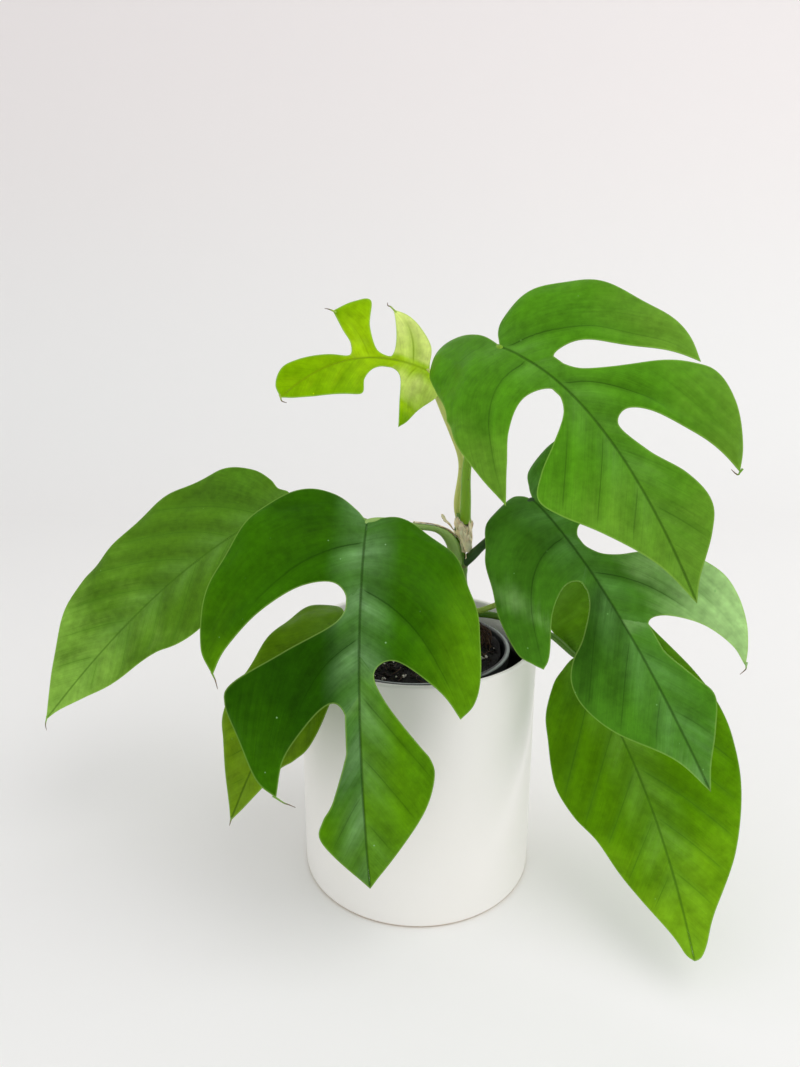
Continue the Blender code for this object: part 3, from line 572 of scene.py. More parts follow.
def living_stem(name, green, pale, brown):
    """Living stem or petiole: a smooth waxy skin with long fine streaks, paler along the
    groove, with a few brown flecks. Reads the piece's own length and angle."""
    material, node = start_material(name, 0.4, IOR=1.42, Subsurface_Weight=0.12,
                                    Subsurface_Scale=0.002)
    skin = node("Attribute.skin").outputs["Vector"]
    # Streaks are 1.1 mm wide and 25 mm long, and flecks 2.4 mm.
    stretched = node("VectorMath.MULTIPLY", skin, (900.0, 900.0, 40.0))
    streak = node("TexNoise", stretched, 1.0, 4.0)
    grooved, scarred, _ = node("SeparateColor", node("Attribute.mark")).outputs
    tone = node("MapRange", streak, 0.3, 0.8, 0.0, 0.45)
    pale_amount = node("Math.ADD", tone, grooved, use_clamp=True)
    base = node("Mix.RGBA", pale_amount, green, pale)
    fleck = node("TexNoise", node("TexCoord").outputs["Object"], 420.0, 3.0)
    rare = node("MapRange", fleck, 0.66, 0.74, 0.0, 0.5)
    corky = node("Math.ADD", rare, scarred, use_clamp=True)
    full = node("Mix.RGBA", corky, base, brown)
    return finish_material(material, full, streak, 0.3)


def dried_sheath(plant):
    """Dried leaf sheath: pale papery straw with brown stains, brown torn edges and long raised
    fibres. Reads the piece's own place on its skin, and its edges from mark's red."""
    material, node = start_material("dried_papery_sheath", 0.75, Subsurface_Weight=0.15,
                                    Subsurface_Scale=0.001)
    skin = node("Attribute.skin").outputs["Vector"]
    torn_edge = node("SeparateColor", node("Attribute.mark")).outputs["Red"]
    # Fibres are 1.4 mm wide and 17 mm long, coarser than real so that they show.
    stretched = node("VectorMath.MULTIPLY", skin, (700.0, 700.0, 60.0))
    fibre = node("TexNoise", stretched, 1.0, 3.0)
    stain = node("TexNoise", node("TexCoord").outputs["Object"], 260.0, 4.0)
    both = node("Math.MULTIPLY", stain, fibre)
    edged = node("Math.MULTIPLY_ADD", torn_edge, 0.13, both)
    amount = node("MapRange", edged, 0.31, 0.5)
    mix = node("Mix.RGBA", amount, plant.straw, plant.rust)
    return finish_material(material, mix, fibre, 0.7)


def leaf_upper(name, base, skin, spacing):
    """Upper side of a living aroid leaf: a waxy soft gloss over green that is mottled at 3 to
    5 mm and in cloudy patches, yellower towards the tips, with painted shade beside the sunk
    veins, dark lines along them and the midrib that are partly their own darker green and
    partly painted shade in their creases, a painted sheen along the midrib, hair-fine side
    veins, a few pale specks, and a pale line at the margin that is partly its own paler green
    and partly a painted highlight. Reads the blade's own attributes, where veins lie at every
    spacing of the first vein coordinate. Each panel between veins has painted light on its
    side towards the vein behind it and painted shade on its other side, for the light where
    it bulges."""
    material, node = start_material(name, 0.4, IOR=1.45, Specular_IOR_Level=0.08,
                                    Specular_Tint=(0.6, 1.0, 0.3, 1.0))
    deep, tip, sheen = (linear(skin[key]) for key in ("deep", "tip", "sheen"))
    groove = linear(skin.get("groove", skin["deep"]))
    darkest_vein_and_shade = times(groove, 0.6)
    place = node("TexCoord").outputs["Object"]
    vein = node("Attribute.vein").outputs["Vector"]
    leaf = node("Attribute.leaf")
    strength = leaf.outputs["Alpha"]
    from_rib, from_margin, youth = node("SeparateColor", leaf).outputs

    # Clouds are 26 mm across, and streaks along the veins 4 mm wide and 33 mm long.
    cloud = node("TexNoise", place, 38.0, 3.0)
    drawn = node("VectorMath.MULTIPLY", vein, (260.0, 30.0, 0.0))
    streak = node("TexNoise", drawn, 1.0, 4.0, 0.55)
    uneven = node("Math.MULTIPLY_ADD", streak, 0.4, cloud)
    age = node("Math.MULTIPLY_ADD", uneven, 0.6, youth)
    young = node("MapRange.SMOOTHSTEP", age, 0.63, 1.29)
    tipped = node("Mix.RGBA", young, base, tip)
    old = node("MapRange.SMOOTHSTEP", age, 0.53, -0.03, 0.0, 0.9)
    aged = node("Mix.RGBA", old, tipped, deep)

    # Painted sheen: a silvery colour along the midrib, in streaks and stronger on the side of each panel
    # towards the vein behind it, stands in for the gloss highlight there.
    near_rib = node("MapRange.SMOOTHSTEP", from_rib, 0.28, 0.02)
    still = node("MapRange", youth, 0.45, 0.72, 1.0, 0.25)
    beside = node("Math.MULTIPLY", near_rib, still)
    sheen_streaks = node("MapRange", streak, 0.2, 0.8, 0.2, 0.66)
    count = node("SeparateXYZ", vein).outputs["X"]
    panel = node("Math.SINE", node("Math.MULTIPLY", count, 2 * math.pi / spacing))
    panel_sheen = node("MapRange", panel, -1.0, 1.0, 0.35)
    settled = node("Math.MULTIPLY", sheen_streaks, panel_sheen)
    painted_sheen_mask = node("Math.MULTIPLY", beside, settled)
    sheened = node("Mix.RGBA", painted_sheen_mask, aged, sheen)

    # Mottling is 4 mm across, and fine lines along the veins are 0.8 mm wide and 20 mm long.
    mottle = node("TexNoise", place, 260.0, 4.0, 0.6)
    fine = node("VectorMath.MULTIPLY", vein, (1250.0, 50.0, 0.0))
    lines = node("TexNoise", fine, 1.0, 2.0)
    tones = node("Math.MULTIPLY_ADD", lines, 0.5, mottle)
    clouded = node("Math.MULTIPLY_ADD", cloud, 0.7, tones)
    shade = node("MapRange", clouded, 0.8, 1.4, 0.78, 1.22)
    # Painted light and shade: each panel between veins is lighter on its side towards the vein behind it
    # and darker on its other side, for how the light falls where it bulges.
    painted_panel_light = node("Math.MULTIPLY", panel, strength)
    lit = node("Math.MULTIPLY_ADD", painted_panel_light, 0.2, shade)
    toned = node("VectorMath.SCALE", sheened, lit)

    # Painted shade: within 4.5 mm of each side vein, most at the main ones, the colour darkens towards the
    # groove colour, for the shade in its sunk crease. The dark lines along the veins and the midrib are
    # partly their own darker green and partly painted shade in the crease.
    around = node("Math.WRAP", count, spacing / 2, -spacing / 2)
    near = node("Math.ABSOLUTE", around)
    painted_crease_shade = node("MapRange.SMOOTHSTEP", near, 4.5 * MM, 0.1 * MM, 0.0, 0.45)
    shadow = node("Math.MULTIPLY", painted_crease_shade, strength)
    shaded = node("Mix.RGBA", shadow, toned, groove)
    vein_line_and_shade = node("MapRange", near, 0.5 * MM, 0.15 * MM, 0.0, 0.7)
    traced = node("Math.MULTIPLY", vein_line_and_shade, strength)
    veined = node("Mix.RGBA", traced, shaded, darkest_vein_and_shade)
    rib = node("MapRange", from_rib, 0.013, 0.004, 0.0, 0.6)
    ribbed = node("Mix.RGBA", rib, veined, darkest_vein_and_shade)
    # A pale line within 0.7 mm of the margin: partly the margin's own paler green, partly a painted
    # highlight on the edge.
    pale_margin_and_highlight = node("MapRange", from_margin, 0.07, 0.03, 0.0, 0.3)
    hemmed = node("Mix.RGBA", pale_margin_and_highlight, ribbed, linear(PALE_MARGIN_AND_HIGHLIGHT))

    # One cell in seven, each 5 mm across, has a pale speck of 0.5 mm.
    cells = node("TexVoronoi", place, 210.0)
    speck = node("MapRange", cells, 0.09, 0.05, 0.0, 0.8)
    chosen = node("SeparateColor", cells.outputs["Color"])
    few = node("Math.GREATER_THAN", chosen, 0.86)
    shown = node("Math.MULTIPLY", speck, few)
    specked = node("Mix.RGBA", shown, hemmed, [c * 1.3 for c in sheen])

    gloss = node("MapRange", tones, 0.5, 1.1, 0.3, 0.5)
    shader = material.node_tree.nodes["Principled BSDF"]
    material.node_tree.links.new(gloss.outputs["Result"], shader.inputs["Roughness"])
    pores = node("TexNoise", place, 1300.0, 2.0)
    height = node("Math.MULTIPLY_ADD", pores, 0.3, tones)
    return finish_material(material, specked, height, 0.5)


def leaf_under(name, base, spacing):
    """Underside of the leaf: the same green, paler and matt, with the veins raised and pale."""
    material, node = start_material(name, 0.6, IOR=1.4, Specular_IOR_Level=0.3,
                                    Subsurface_Weight=0.05, Subsurface_Scale=0.001)
    vein = node("Attribute.vein").outputs["Vector"]
    strength = node("Attribute.leaf").outputs["Alpha"]
    fine = node("VectorMath.MULTIPLY", vein, (900.0, 40.0, 0.0))
    lines = node("TexNoise", fine, 1.0, 3.0)
    tone = node("Mix.RGBA", lines, base, times(base, 1.15, 0.02))
    count = node("SeparateXYZ", vein).outputs["X"]
    around = node("Math.WRAP", count, spacing / 2, -spacing / 2)
    near = node("Math.ABSOLUTE", around)
    ridge = node("MapRange.SMOOTHSTEP", near, 1.3 * MM, 0.3 * MM)
    ribbed = node("Math.MULTIPLY", strength, ridge)
    mix = node("Mix.RGBA", ribbed, tone, times(base, 1.5, 0.08))
    return finish_material(material, mix, lines, 0.4)


def plain_skin(name, colour, roughness):
    """A thin even strip, such as a leaf's cut edge, mottled faintly."""
    material, node = start_material(name, roughness, IOR=1.4)
    cloud = node("TexNoise", node("TexCoord").outputs["Object"], 500.0)
    return finish_material(material, node("Mix.RGBA", cloud, colour, [c * 0.75 for c in colour]))


def unit(vector):
    """Vectors of length one in the same directions."""
    return vector / np.linalg.norm(vector, axis=-1, keepdims=True)


def smooth_step(value):
    """0 below 0, 1 above 1, and an S curve between."""
    value = np.clip(value, 0.0, 1.0)
    return value * value * (3 - 2 * value)


def bell(distance, width):
    """A bell curve of height 1: e to the minus square of distance over width."""
    return np.exp(-(distance / width) ** 2)


def crease(distance, reach):
    """Depth of a crease: 1 on its line, rounded within 0.3 mm, less by e for each reach away."""
    return np.exp(-(np.sqrt(distance ** 2 + 0.09) - 0.3) / reach)


def smooth_line(points, per_span):
    """A Catmull-Rom curve through the points, per_span steps in each span."""
    points = np.asarray(points, float)
    ends = np.vstack([2 * points[0] - points[1], points, 2 * points[-1] - points[-2]])
    a, b, c, d = ends[:-3, None], ends[1:-2, None], ends[2:-1, None], ends[3:, None]
    t = np.linspace(0, 1, per_span, endpoint=False)[None, :, None]
    curve = 0.5 * (2 * b + (c - a) * t + (2 * a - 5 * b + 4 * c - d) * t ** 2
                   + (3 * b - a - 3 * c + d) * t ** 3)
    return np.vstack([curve.reshape(-1, points.shape[1]), points[-1:]])


def line_length(line):
    """Distance from a line's start to each of its points."""
    return np.concatenate([[0.0], np.cumsum(np.linalg.norm(np.diff(line, axis=0), axis=1))])


def even_points(line, count):
    """The given number of points, evenly spaced along a line, both ends kept."""
    length = line_length(line)
    wanted = np.linspace(0, length[-1], count)
    return np.stack([np.interp(wanted, length, line[:, k]) for k in range(line.shape[1])], -1)


def grid_quads(rows, columns, wrap=False):
    """Faces of a grid of points, joined round its columns where it wraps."""
    i, j = np.meshgrid(np.arange(rows - 1), np.arange(columns if wrap else columns - 1), indexing="ij")
    k = (j + 1) % columns
    return np.stack([i * columns + j, (i + 1) * columns + j, (i + 1) * columns + k, i * columns + k],
                    -1).reshape(-1, 4)


def join(parts):
    """Several (points, faces, attributes) as one, in order."""
    starts = np.cumsum([0] + [len(points) for points, _, _ in parts[:-1]])
    points = np.vstack([points for points, _, _ in parts])
    faces = np.vstack([quads + start for (_, quads, _), start in zip(parts, starts)])
    names = parts[0][2].keys()
    attributes = {name: np.vstack([given[name] for _, _, given in parts]) for name in names}
    return points, faces, attributes


def set_attributes(mesh, attributes):
    """Store vectors of three or colours of four numbers on a mesh's points."""
    for name, values in attributes.items():
        kind, field = ATTRIBUTE_KINDS[values.shape[1]]
        made = mesh.attributes.new(name, kind, "POINT")
        made.data.foreach_set(field, values.astype(np.float32).ravel())


def read(items, key, width=1, kind=np.float32):
    """One value of every item of a mesh, as an array."""
    values = np.empty(len(items) * width, kind)
    items.foreach_get(key, values)
    return values.reshape(-1, width) if width > 1 else values


def weld(mesh, outward):
    """Merge points that meet, drop faces this leaves empty, and turn a closed skin outwards."""
    work = bmesh.new()
    work.from_mesh(mesh)
    bmesh.ops.remove_doubles(work, verts=work.verts, dist=WELD * MM)
    if outward:
        bmesh.ops.recalc_face_normals(work, faces=work.faces)
    work.to_mesh(mesh)
    work.free()


def new_mesh(name, points, faces, attributes, outward=True):
    """A welded mesh from points in millimetres."""
    mesh = bpy.data.meshes.new(name)
    mesh.from_pydata((np.asarray(points) * MM).tolist(), [], np.asarray(faces).tolist())
    set_attributes(mesh, attributes)
    weld(mesh, outward)
    return mesh


def show(name, data):
    """Put a new object with the given data in the scene."""
    made = bpy.data.objects.new(name, data)
    bpy.context.scene.collection.objects.link(made)
    return made


def add_piece(name, shape, node, slot, *materials, sharp=50.0):
    """Show a mesh, or a shape (points, faces, attributes), as a piece that stands for a node."""
    mesh = new_mesh(name, *shape) if isinstance(shape, tuple) else shape
    piece = show(name, mesh)
    for material in materials:
        mesh.materials.append(material)
    mesh.shade_smooth()
    mesh.set_sharp_from_angle(angle=math.radians(sharp))
    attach(piece, "root")
    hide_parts(node)
    return piece


def thick_sheet(name, sheet, wall):
    """A closed mesh from an open sheet (points, faces, attributes).

    Points move half the wall each way along their normals, the far side's faces are the same
    ones turned round, and a strip closes the open border. Wall is a function that gives the
    thickness in mm from the attributes. The faces' material is 0 on the upper side, 1 on the
    under side and 2 on the border.
    """
    flat = new_mesh(name + "_sheet", *sheet, outward=False)
    attributes = {}
    for key, value in sheet[2].items():
        width = value.shape[1]
        attributes[key] = read(flat.attributes[key].data, ATTRIBUTE_KINDS[width][1], width)
    points, normals = (read(flat.vertices, key, 3) for key in ("co", "normal"))
    start, total = (read(flat.polygons, key, 1, np.int32) for key in ("loop_start", "loop_total"))
    corner, edge = (read(flat.loops, key, 1, np.int32) for key in ("vertex_index", "edge_index"))
    bpy.data.meshes.remove(flat)
    count = len(points)
    first, size = np.repeat(start, total), np.repeat(total, total)
    local = np.arange(len(corner)) - first
    turned_round = corner[first + size - 1 - local] + count
    following = corner[first + (local + 1) % size]
    border = np.bincount(edge)[edge] == 1
    a, b = corner[border], following[border]
    strip = np.stack([b, a, a + count, b + count], -1)
    corners = np.concatenate([corner, turned_round, strip.ravel()])
    totals = np.concatenate([total, total, np.full(len(strip), 4)])
    half = normals * (wall(attributes)[:, None] * MM / 2)
    made = bpy.data.meshes.new(name)
    made.vertices.add(2 * count)
    made.vertices.foreach_set("co", np.vstack([points + half, points - half]).ravel())
    made.loops.add(len(corners))
    made.loops.foreach_set("vertex_index", corners)
    made.polygons.add(len(totals))
    made.polygons.foreach_set("loop_start", np.concatenate([[0], np.cumsum(totals)[:-1]]))
    made.polygons.foreach_set("loop_total", totals)
    slots = np.repeat([0, 1, 2], [len(total), len(total), len(strip)])
    made.polygons.foreach_set("material_index", slots)
    made.update(calc_edges=True)
    made.validate()
    set_attributes(made, {key: np.vstack([value, value]) for key, value in attributes.items()})
    return made


def skinned(points, skin, red, wrap=False):
    """A grid of points as (points, faces, attributes): skin is each point's place on the piece's
    own skin in mm, and red is the red of attribute mark."""
    mark = np.zeros((*points.shape[:2], 4))
    mark[..., 0] = red
    skin = np.stack(np.broadcast_arrays(*skin), -1)
    return (points.reshape(-1, 3), grid_quads(*points.shape[:2], wrap=wrap),
            {"skin": skin.reshape(-1, 3) * MM, "mark": mark.reshape(-1, 4)})


def rod(path, radii, sides, groove=0.0):
    """A round rod along a path with pointed ends, as (points, faces, attributes).

    A point is path + radius * (cos a * across + sin a * up), where a goes round the rod, and
    a groove takes a share of the radius off where a is near a quarter turn. Attribute skin is
    (radius * cos a, radius * sin a, distance along), and mark's red is the groove's paleness.
    """
    along = unit(np.gradient(path, axis=0))
    helper = np.array([0.0, 1.0, 0.0]) if abs(along[0, 1]) < 0.8 else np.array([1.0, 0.0, 0.0])
    across = unit(np.cross(along, helper))
    up = np.cross(across, along)
    angle = np.linspace(0, 2 * np.pi, sides, endpoint=False)[None, :]
    dent = bell(np.abs(angle - np.pi / 2), 0.55)
    size = radii[:, None] * (1 - groove * dent)
    size = np.vstack([0 * size[:1], size, 0 * size[-1:]])
    path, across, up = (np.vstack([v[:1], v, v[-1:]]) for v in (path, across, up))
    points = (path[:, None] + (size * np.cos(angle))[..., None] * across[:, None]
              + (size * np.sin(angle))[..., None] * up[:, None])
    round_skin = (np.cos(angle) * radii.mean(), np.sin(angle) * radii.mean())
    return skinned(points, (*round_skin, line_length(path)[:, None]), dent * (groove > 0), wrap=True)


def arc(centre, radius, start, end, steps=8):
    """Points (r, z) round part of a circle, from one angle in degrees to another."""
    angle = np.radians(np.linspace(start, end, steps + 1))
    return np.stack([centre[0] + radius * np.cos(angle), centre[1] + radius * np.sin(angle)], -1)


def turned(profile, sides, centre=(0.0, 0.0)):
    """A closed skin of (radius, height) points turned round the vertical: (r cos a, r sin a, z)."""
    angle = np.linspace(0, 2 * np.pi, sides, endpoint=False)[None, :]
    r, z = profile[:, :1], profile[:, 1:]
    points = np.stack([centre[0] + r * np.cos(angle), centre[1] + r * np.sin(angle), z + 0 * angle], -1)
    return points.reshape(-1, 3), grid_quads(len(profile), sides, wrap=True), {}


def fine_profile(corners, step):
    """A profile with extra points, so that none is further than step from the next."""
    parts = []
    for a, b in zip(corners[:-1], corners[1:]):
        count = max(1, math.ceil(np.linalg.norm(b - a) / step))
        parts.append(a + (b - a) * np.linspace(0, 1, count, endpoint=False)[:, None])
    return np.vstack([*parts, corners[-1:]])


def nursery_radius(height):
    """Outside radius of the nursery pot's wall at a height, as it tapers to its base."""
    bottom, top = (corner.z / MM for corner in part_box("nursery_pot"))
    share = (height - bottom) / (top - bottom)
    return NURSERY_BASE_RADIUS + share * (NURSERY_RIM_RADIUS - NURSERY_RIM_WIDTH - NURSERY_BASE_RADIUS)


def soil_height(x, y):
    """Top of the soil: a low mound by the stem, with soft lumps where three waves cross."""
    stem_x, stem_y, _ = STEM_PATH[1]
    mound = np.exp(-((x - stem_x) ** 2 + (y - stem_y) ** 2) / MOUND_SPREAD ** 2)
    lumps = sum(np.sin(a * x + b * y + phase) for a, b, phase in SOIL_WAVES) / len(SOIL_WAVES)
    return SOIL_TOP + MOUND_HEIGHT * mound + SOIL_BUMP * lumps


def stem_line(per_span):
    """The stem's path and radii, swollen at each node."""
    path = smooth_line(STEM_PATH, per_span)
    radii = smooth_line(np.array(STEM_RADII)[:, None], per_span)[:, 0]
    for height, swell in STEM_NODES:
        radii = radii + swell * bell(path[:, 2] - height, NODE_HALF_LENGTH)
    return path, radii


def leaf_place(leaf, along, out, side, lift=0.0):
    """Put flat leaf points in space, lifted off the blade's middle surface by lift.

    The midrib is a parabola through three points of the spine. Across it, each half is a
    circular arc that starts at the fold angle above the leaf's plane and bends back with the
    distance out. The leaf's plane turns evenly from the first facing to the second. Behind the
    petiole a half may lean across the line of the midrib.
    """
    start, middle, end = (np.array(p, float) for p in leaf["spine"])
    bend = 2 * middle - (start + end) / 2
    t = (np.asarray(along, float) / leaf["length"])[..., None]
    centre = (1 - t) ** 2 * start + 2 * t * (1 - t) * bend + t ** 2 * end
    forward = unit(2 * (1 - t) * (bend - start) + 2 * t * (end - bend))
    turn = np.clip(t, -0.3, 1.1)
    first, last = (unit(np.array(face, float)) for face in leaf["face"])
    facing = (1 - turn) * first + turn * last
    up = unit(facing - (facing * forward).sum(-1, keepdims=True) * forward)
    across = side * np.cross(forward, up)
    fold = np.radians(leaf["fold"])
    rate = np.radians(leaf["curl"]) / CURL_REACH
    lean = leaf.get("lean", (0, 0))[SIDES.index(side)] * (1 - np.exp(np.minimum(along, 0) / LEAN_REACH))
    away = (np.asarray(out, float) - lean)[..., None]
    slope = fold - rate * away
    sideways = (np.sin(fold) - np.sin(slope)) / rate
    rise = (np.cos(slope) - np.cos(fold)) / rate
    normal = np.cos(slope) * up - np.sin(slope) * across
    return centre + sideways * across + rise * up + np.asarray(lift, float)[..., None] * normal


def midrib_marks(leaf, step):
    """Distances along the midrib that both halves share."""
    feet = {0.0, float(leaf["length"])}
    for half in leaf["halves"]:
        feet.update(float(part["foot"]) for part in half if part["foot"] is not None)
    feet = sorted(feet)
    marks = [np.linspace(a, b, math.ceil((b - a) / step), endpoint=False)
             for a, b in zip(feet[:-1], feet[1:])]
    return np.concatenate([*marks, feet[-1:]])


def free_edge(points, before=None):
    """A smooth edge through points; the point before it only sets how it starts."""
    if before is None:
        return smooth_line(points, EDGE_SPAN)
    return smooth_line([before, *points], EDGE_SPAN)[EDGE_SPAN:]


def edge_rows(foot, slit, edge, count):
    """Points from the midrib to a split's inner end, then on along the free edge."""
    shared = np.linspace((foot, 0.0), slit, SHARED_ROWS + 1)
    return np.vstack([shared, even_points(edge, count - SHARED_ROWS)[1:]])


def lobe_sheets(leaf, half, step):
    """Flat grids of one half of a leaf, and its free margin.

    A lobe's rear edge and front edge both run from the midrib to its tip, and the sheet is
    every straight line between points at equal shares of the two, gathered towards the free
    margins. The last lobe's front edge is the midrib. No edge dips below its split's inner end,
    and rows between two splits bow towards the midrib, so that the sheet doesn't fold there.
    """
    marks = midrib_marks(leaf, step)
    parts = leaf["halves"][half]
    sheets = []
    margins = []
    foot, slit, before = 0.0, (0.0, 0.0), None
    for part, following in zip(parts, parts[1:] + [None]):
        end = part["foot"] if following else leaf["length"]
        columns = marks[(marks >= foot - WELD) & (marks <= end + WELD)]
        outer = free_edge([slit, *part["out"], part["tip"]], before)
        rising = slice(0, np.argmax(outer[:, 1]))
        outer[rising, 1] = np.maximum(outer[rising, 1], slit[1])
        margins.append(even_points(outer, MARGIN_POINTS))
        if following:
            inner = free_edge([part["slit"], *reversed(part["back"]), part["tip"]], following["out"][0])
            inner[:, 1] = np.maximum(inner[:, 1], part["slit"][1])
            margins.append(even_points(inner, MARGIN_POINTS))
            count = math.ceil(max(line_length(outer)[-1], line_length(inner)[-1]) / step) + SHARED_ROWS
            front = edge_rows(end, part["slit"], inner, count)
            share = ((columns - foot) / (end - foot))[None, :]
            row = np.linspace(0, 1, count)[:, None]
            gather = smooth_step(row * 6) * LOBE_GATHER
            share = share - gather * np.sin(2 * np.pi * share) / (2 * np.pi)
        else:
            count = len(columns)
            front = np.stack([columns, 0 * columns], -1)
            width = np.abs(outer[:, 1]).max()
            share = np.linspace(0, 1, math.ceil(width / step) + 1)[None, :]
            share = share - LAST_GATHER * np.sin(np.pi * share) * (1 - share)
        rear = even_points(outer, count) if before is None else edge_rows(foot, slit, outer, count)
        share = (share + 0 * rear[:, :1])[..., None]
        flat = (1 - share) * rear[:, None] + share * front[:, None]
        if following:
            rows = np.arange(count)[:, None]
            fading = np.clip(1 - (rows - SHARED_ROWS) / SPLIT_FADE, 0, 1) ** 1.5
            bow = np.where(rows < SHARED_ROWS, rows / SHARED_ROWS, fading)
            depth = min(0.07 * (end - foot), 0.45 * part["slit"][1])
            weight = 4 * share * (1 - share) if foot > 0 else 6.75 * share ** 2 * (1 - share)
            flat[..., 1] -= depth * bow * weight[..., 0]
        sheets.append((flat, share[..., 0], rear, front, foot, end, following is None))
        if following:
            foot, slit, before = end, part["slit"], part["back"][-1]
    return sheets, np.vstack(margins)


def margin_distance(flat, margin):
    """Distance from each flat point to the nearest point of the free margin."""
    points = flat.reshape(-1, 1, 2)
    nearest = [np.linalg.norm(block - margin[None], axis=-1).min(-1)
               for block in np.array_split(points, math.ceil(len(points) / 2000))]
    return np.concatenate(nearest).reshape(flat.shape[:2])


def lobe_veins(leaf, part, flat, share, rear, front, foot, end, last):
    """Vein coordinates of one lobe: (count, length, tipward, strength).

    A vein runs wherever count is whole. The main vein runs straight at first, then bends with
    the cube of the distance out so that it ends in the lobe's tip. The others are copies of
    it along the midrib, but behind the leaf's joint they fan out from there. In a last lobe
    veins leave the midrib at even steps. A slow wave bends them, and they fade at borders.
    """
    along, out = flat[..., 0], flat[..., 1]
    spacing = leaf["laterals"]
    if last:
        start, slope = foot + 0.6 * spacing, 1.2
        bend = 0.004 * out ** 2
        strength = 0.8 * smooth_step(out / 4) * smooth_step((along - foot - 8) / 10)
        tipward = 0.9 * np.clip(along / leaf["length"], 0, 1)
    else:
        start, slope = part["vein"] or (0.6 * foot + 0.4 * end, 0.7)
        far, reach = part["tip"]
        bend = (far - start - slope * reach) * (np.maximum(out, 0) / reach) ** 3
        strength = smooth_step(out / 3) * 4 * share * (1 - share)
        length = line_length((rear + front) / 2)
        tipward = (length / length[-1])[:, None] ** 1.3 + 0 * out
    course = along - start - slope * out - bend + 0.9 * np.sin(out / 15 + foot)
    if foot == 0:
        course = np.where(course < 0, course * FAN_START / (np.abs(out) + FAN_START), course)
    count = course / spacing
    if not last:
        strength = strength * np.where(np.abs(count) < 0.5, 1.0, 0.3)
    return count, out * 1.3 + 0.3 * along, tipward, strength


def blade_sheet(leaf, step, relief):
    """The whole blade as one sheet: (points, faces, attributes).

    The lift off the smooth surface is, in millimetres: a crease along the midrib and along
    each side vein, which falls off evenly to both sides so that the blade bulges between
    them, slow swells from two crossed waves, fine puckers, and a wave and a slight roll at
    the margin. Attribute vein is (count * spacing, length, 0) along the veins, and leaf is
    (distance from midrib / RIB_REACH, distance from margin / MARGIN_REACH, youth, strength of
    the veins), where youth rises to the tip of each lobe and carries the lobe's tone. On a
    basal lobe behind the petiole the first distance counts less, which spreads the painted
    sheen of the midrib over it, and youth more, which makes it paler: painted light.
    """
    parts = []
    phase = leaf["spine"][0][0] * 0.37
    spacing = leaf["laterals"]
    halves = [lobe_sheets(leaf, half, step) for half in (0, 1)]
    for half, side in enumerate(SIDES):
        sheets, own = halves[half]
        margin = np.vstack([own, halves[1 - half][1] * (1, -1)])
        for sheet, part in zip(sheets, leaf["halves"][half]):
            flat = sheet[0]
            along, out = flat[..., 0], flat[..., 1]
            count, length, tipward, strength = lobe_veins(leaf, part, *sheet)
            edge = margin_distance(flat, margin)
            inside = smooth_step(edge / 7)
            run = np.clip(along / leaf["length"], 0, 1)
            rib = smooth_step((along - 4) / 16) * (1 - 0.5 * run) * smooth_step(edge / 3)
            strength = strength * inside * (1 - 0.5 * tipward)
            near = (count - np.round(count)) * spacing
            swell = (np.sin(0.085 * along + 0.05 * out + phase) * np.sin(0.09 * out - 0.05 * along + phase)
                     + 0.5 * np.sin(0.19 * along - 0.16 * out + phase) * smooth_step(out / 8))
            pucker = np.sin(0.8 * along - 0.5 * out + phase) * np.sin(0.25 * out + 0.2 * along) * inside
            wave = np.sin(0.17 * along + 0.09 * out + 2 * phase) * smooth_step(out / 25)
            lift = relief * (-RIB_CREASE * rib * crease(out, 3.5)
                             - VEIN_CREASE * strength * crease(near, 5)
                             + (SWELL * swell * inside + PUCKER * pucker) * smooth_step(out / 8)
                             + EDGE_WAVE * wave * bell(edge, 9)
                             - EDGE_ROLL * bell(edge, 1.3) * smooth_step(out / 4))
            points = leaf_place(leaf, along, out, side, lift)
            quads = grid_quads(*along.shape)
            if side < 0:
                quads = quads[:, ::-1]
            near_end = along - sheet[4] if sheet[6] else out
            grown = smooth_step((near_end / leaf["length"] - 0.01) / 0.1)
            tone = part["tone"] + (part["ripe"] - part["tone"]) * smooth_step((tipward - 0.5) / 0.35)
            # Painted light: the lobe behind the petiole takes the midrib's painted sheen and a paler
            # colour.
            behind = leaf.get("basal", 0.0) * smooth_step(-along / 16)
            youth = tipward + tone * grown + 0.5 * behind
            beside = np.maximum(out / RIB_REACH * (1 - behind), 0.02 * (behind > 0))
            attributes = {
                "vein": np.stack([count * spacing * MM, (length + 40 * half) * MM, 0 * out], -1),
                "leaf": np.stack([beside, np.minimum(edge / MARGIN_REACH, 1), youth, strength], -1),
            }
            attributes = {key: value.reshape(-1, value.shape[-1]) for key, value in attributes.items()}
            parts.append((points.reshape(-1, 3), quads, attributes))
    return join(parts)


def drip_tips(leaf):
    """Thin tails at the ends of lobes: each is a tapering rod on a smooth curve from inside the
    tip through the tail's points."""
    parts = []
    for half, side in enumerate(SIDES):
        for part in leaf["halves"][half]:
            if part["drip"]:
                tip = np.array(part["tip"], float)
                inner = tip + 1.5 * unit(tip - np.array(part["drip"][0], float))
                flat = smooth_line([inner, tip, *part["drip"]], 8)
                path = leaf_place(leaf, flat[:, 0], flat[:, 1], side)
                share = np.linspace(0, 1, len(path))
                tail = rod(path, 0.4 * (1 - share) ** 0.8 + 0.1, 6)
                tail[2]["mark"][:, 1] = np.repeat(smooth_step((np.r_[0, share, 1] - 0.35) / 0.4), 6)
                parts.append(tail)
    return parts


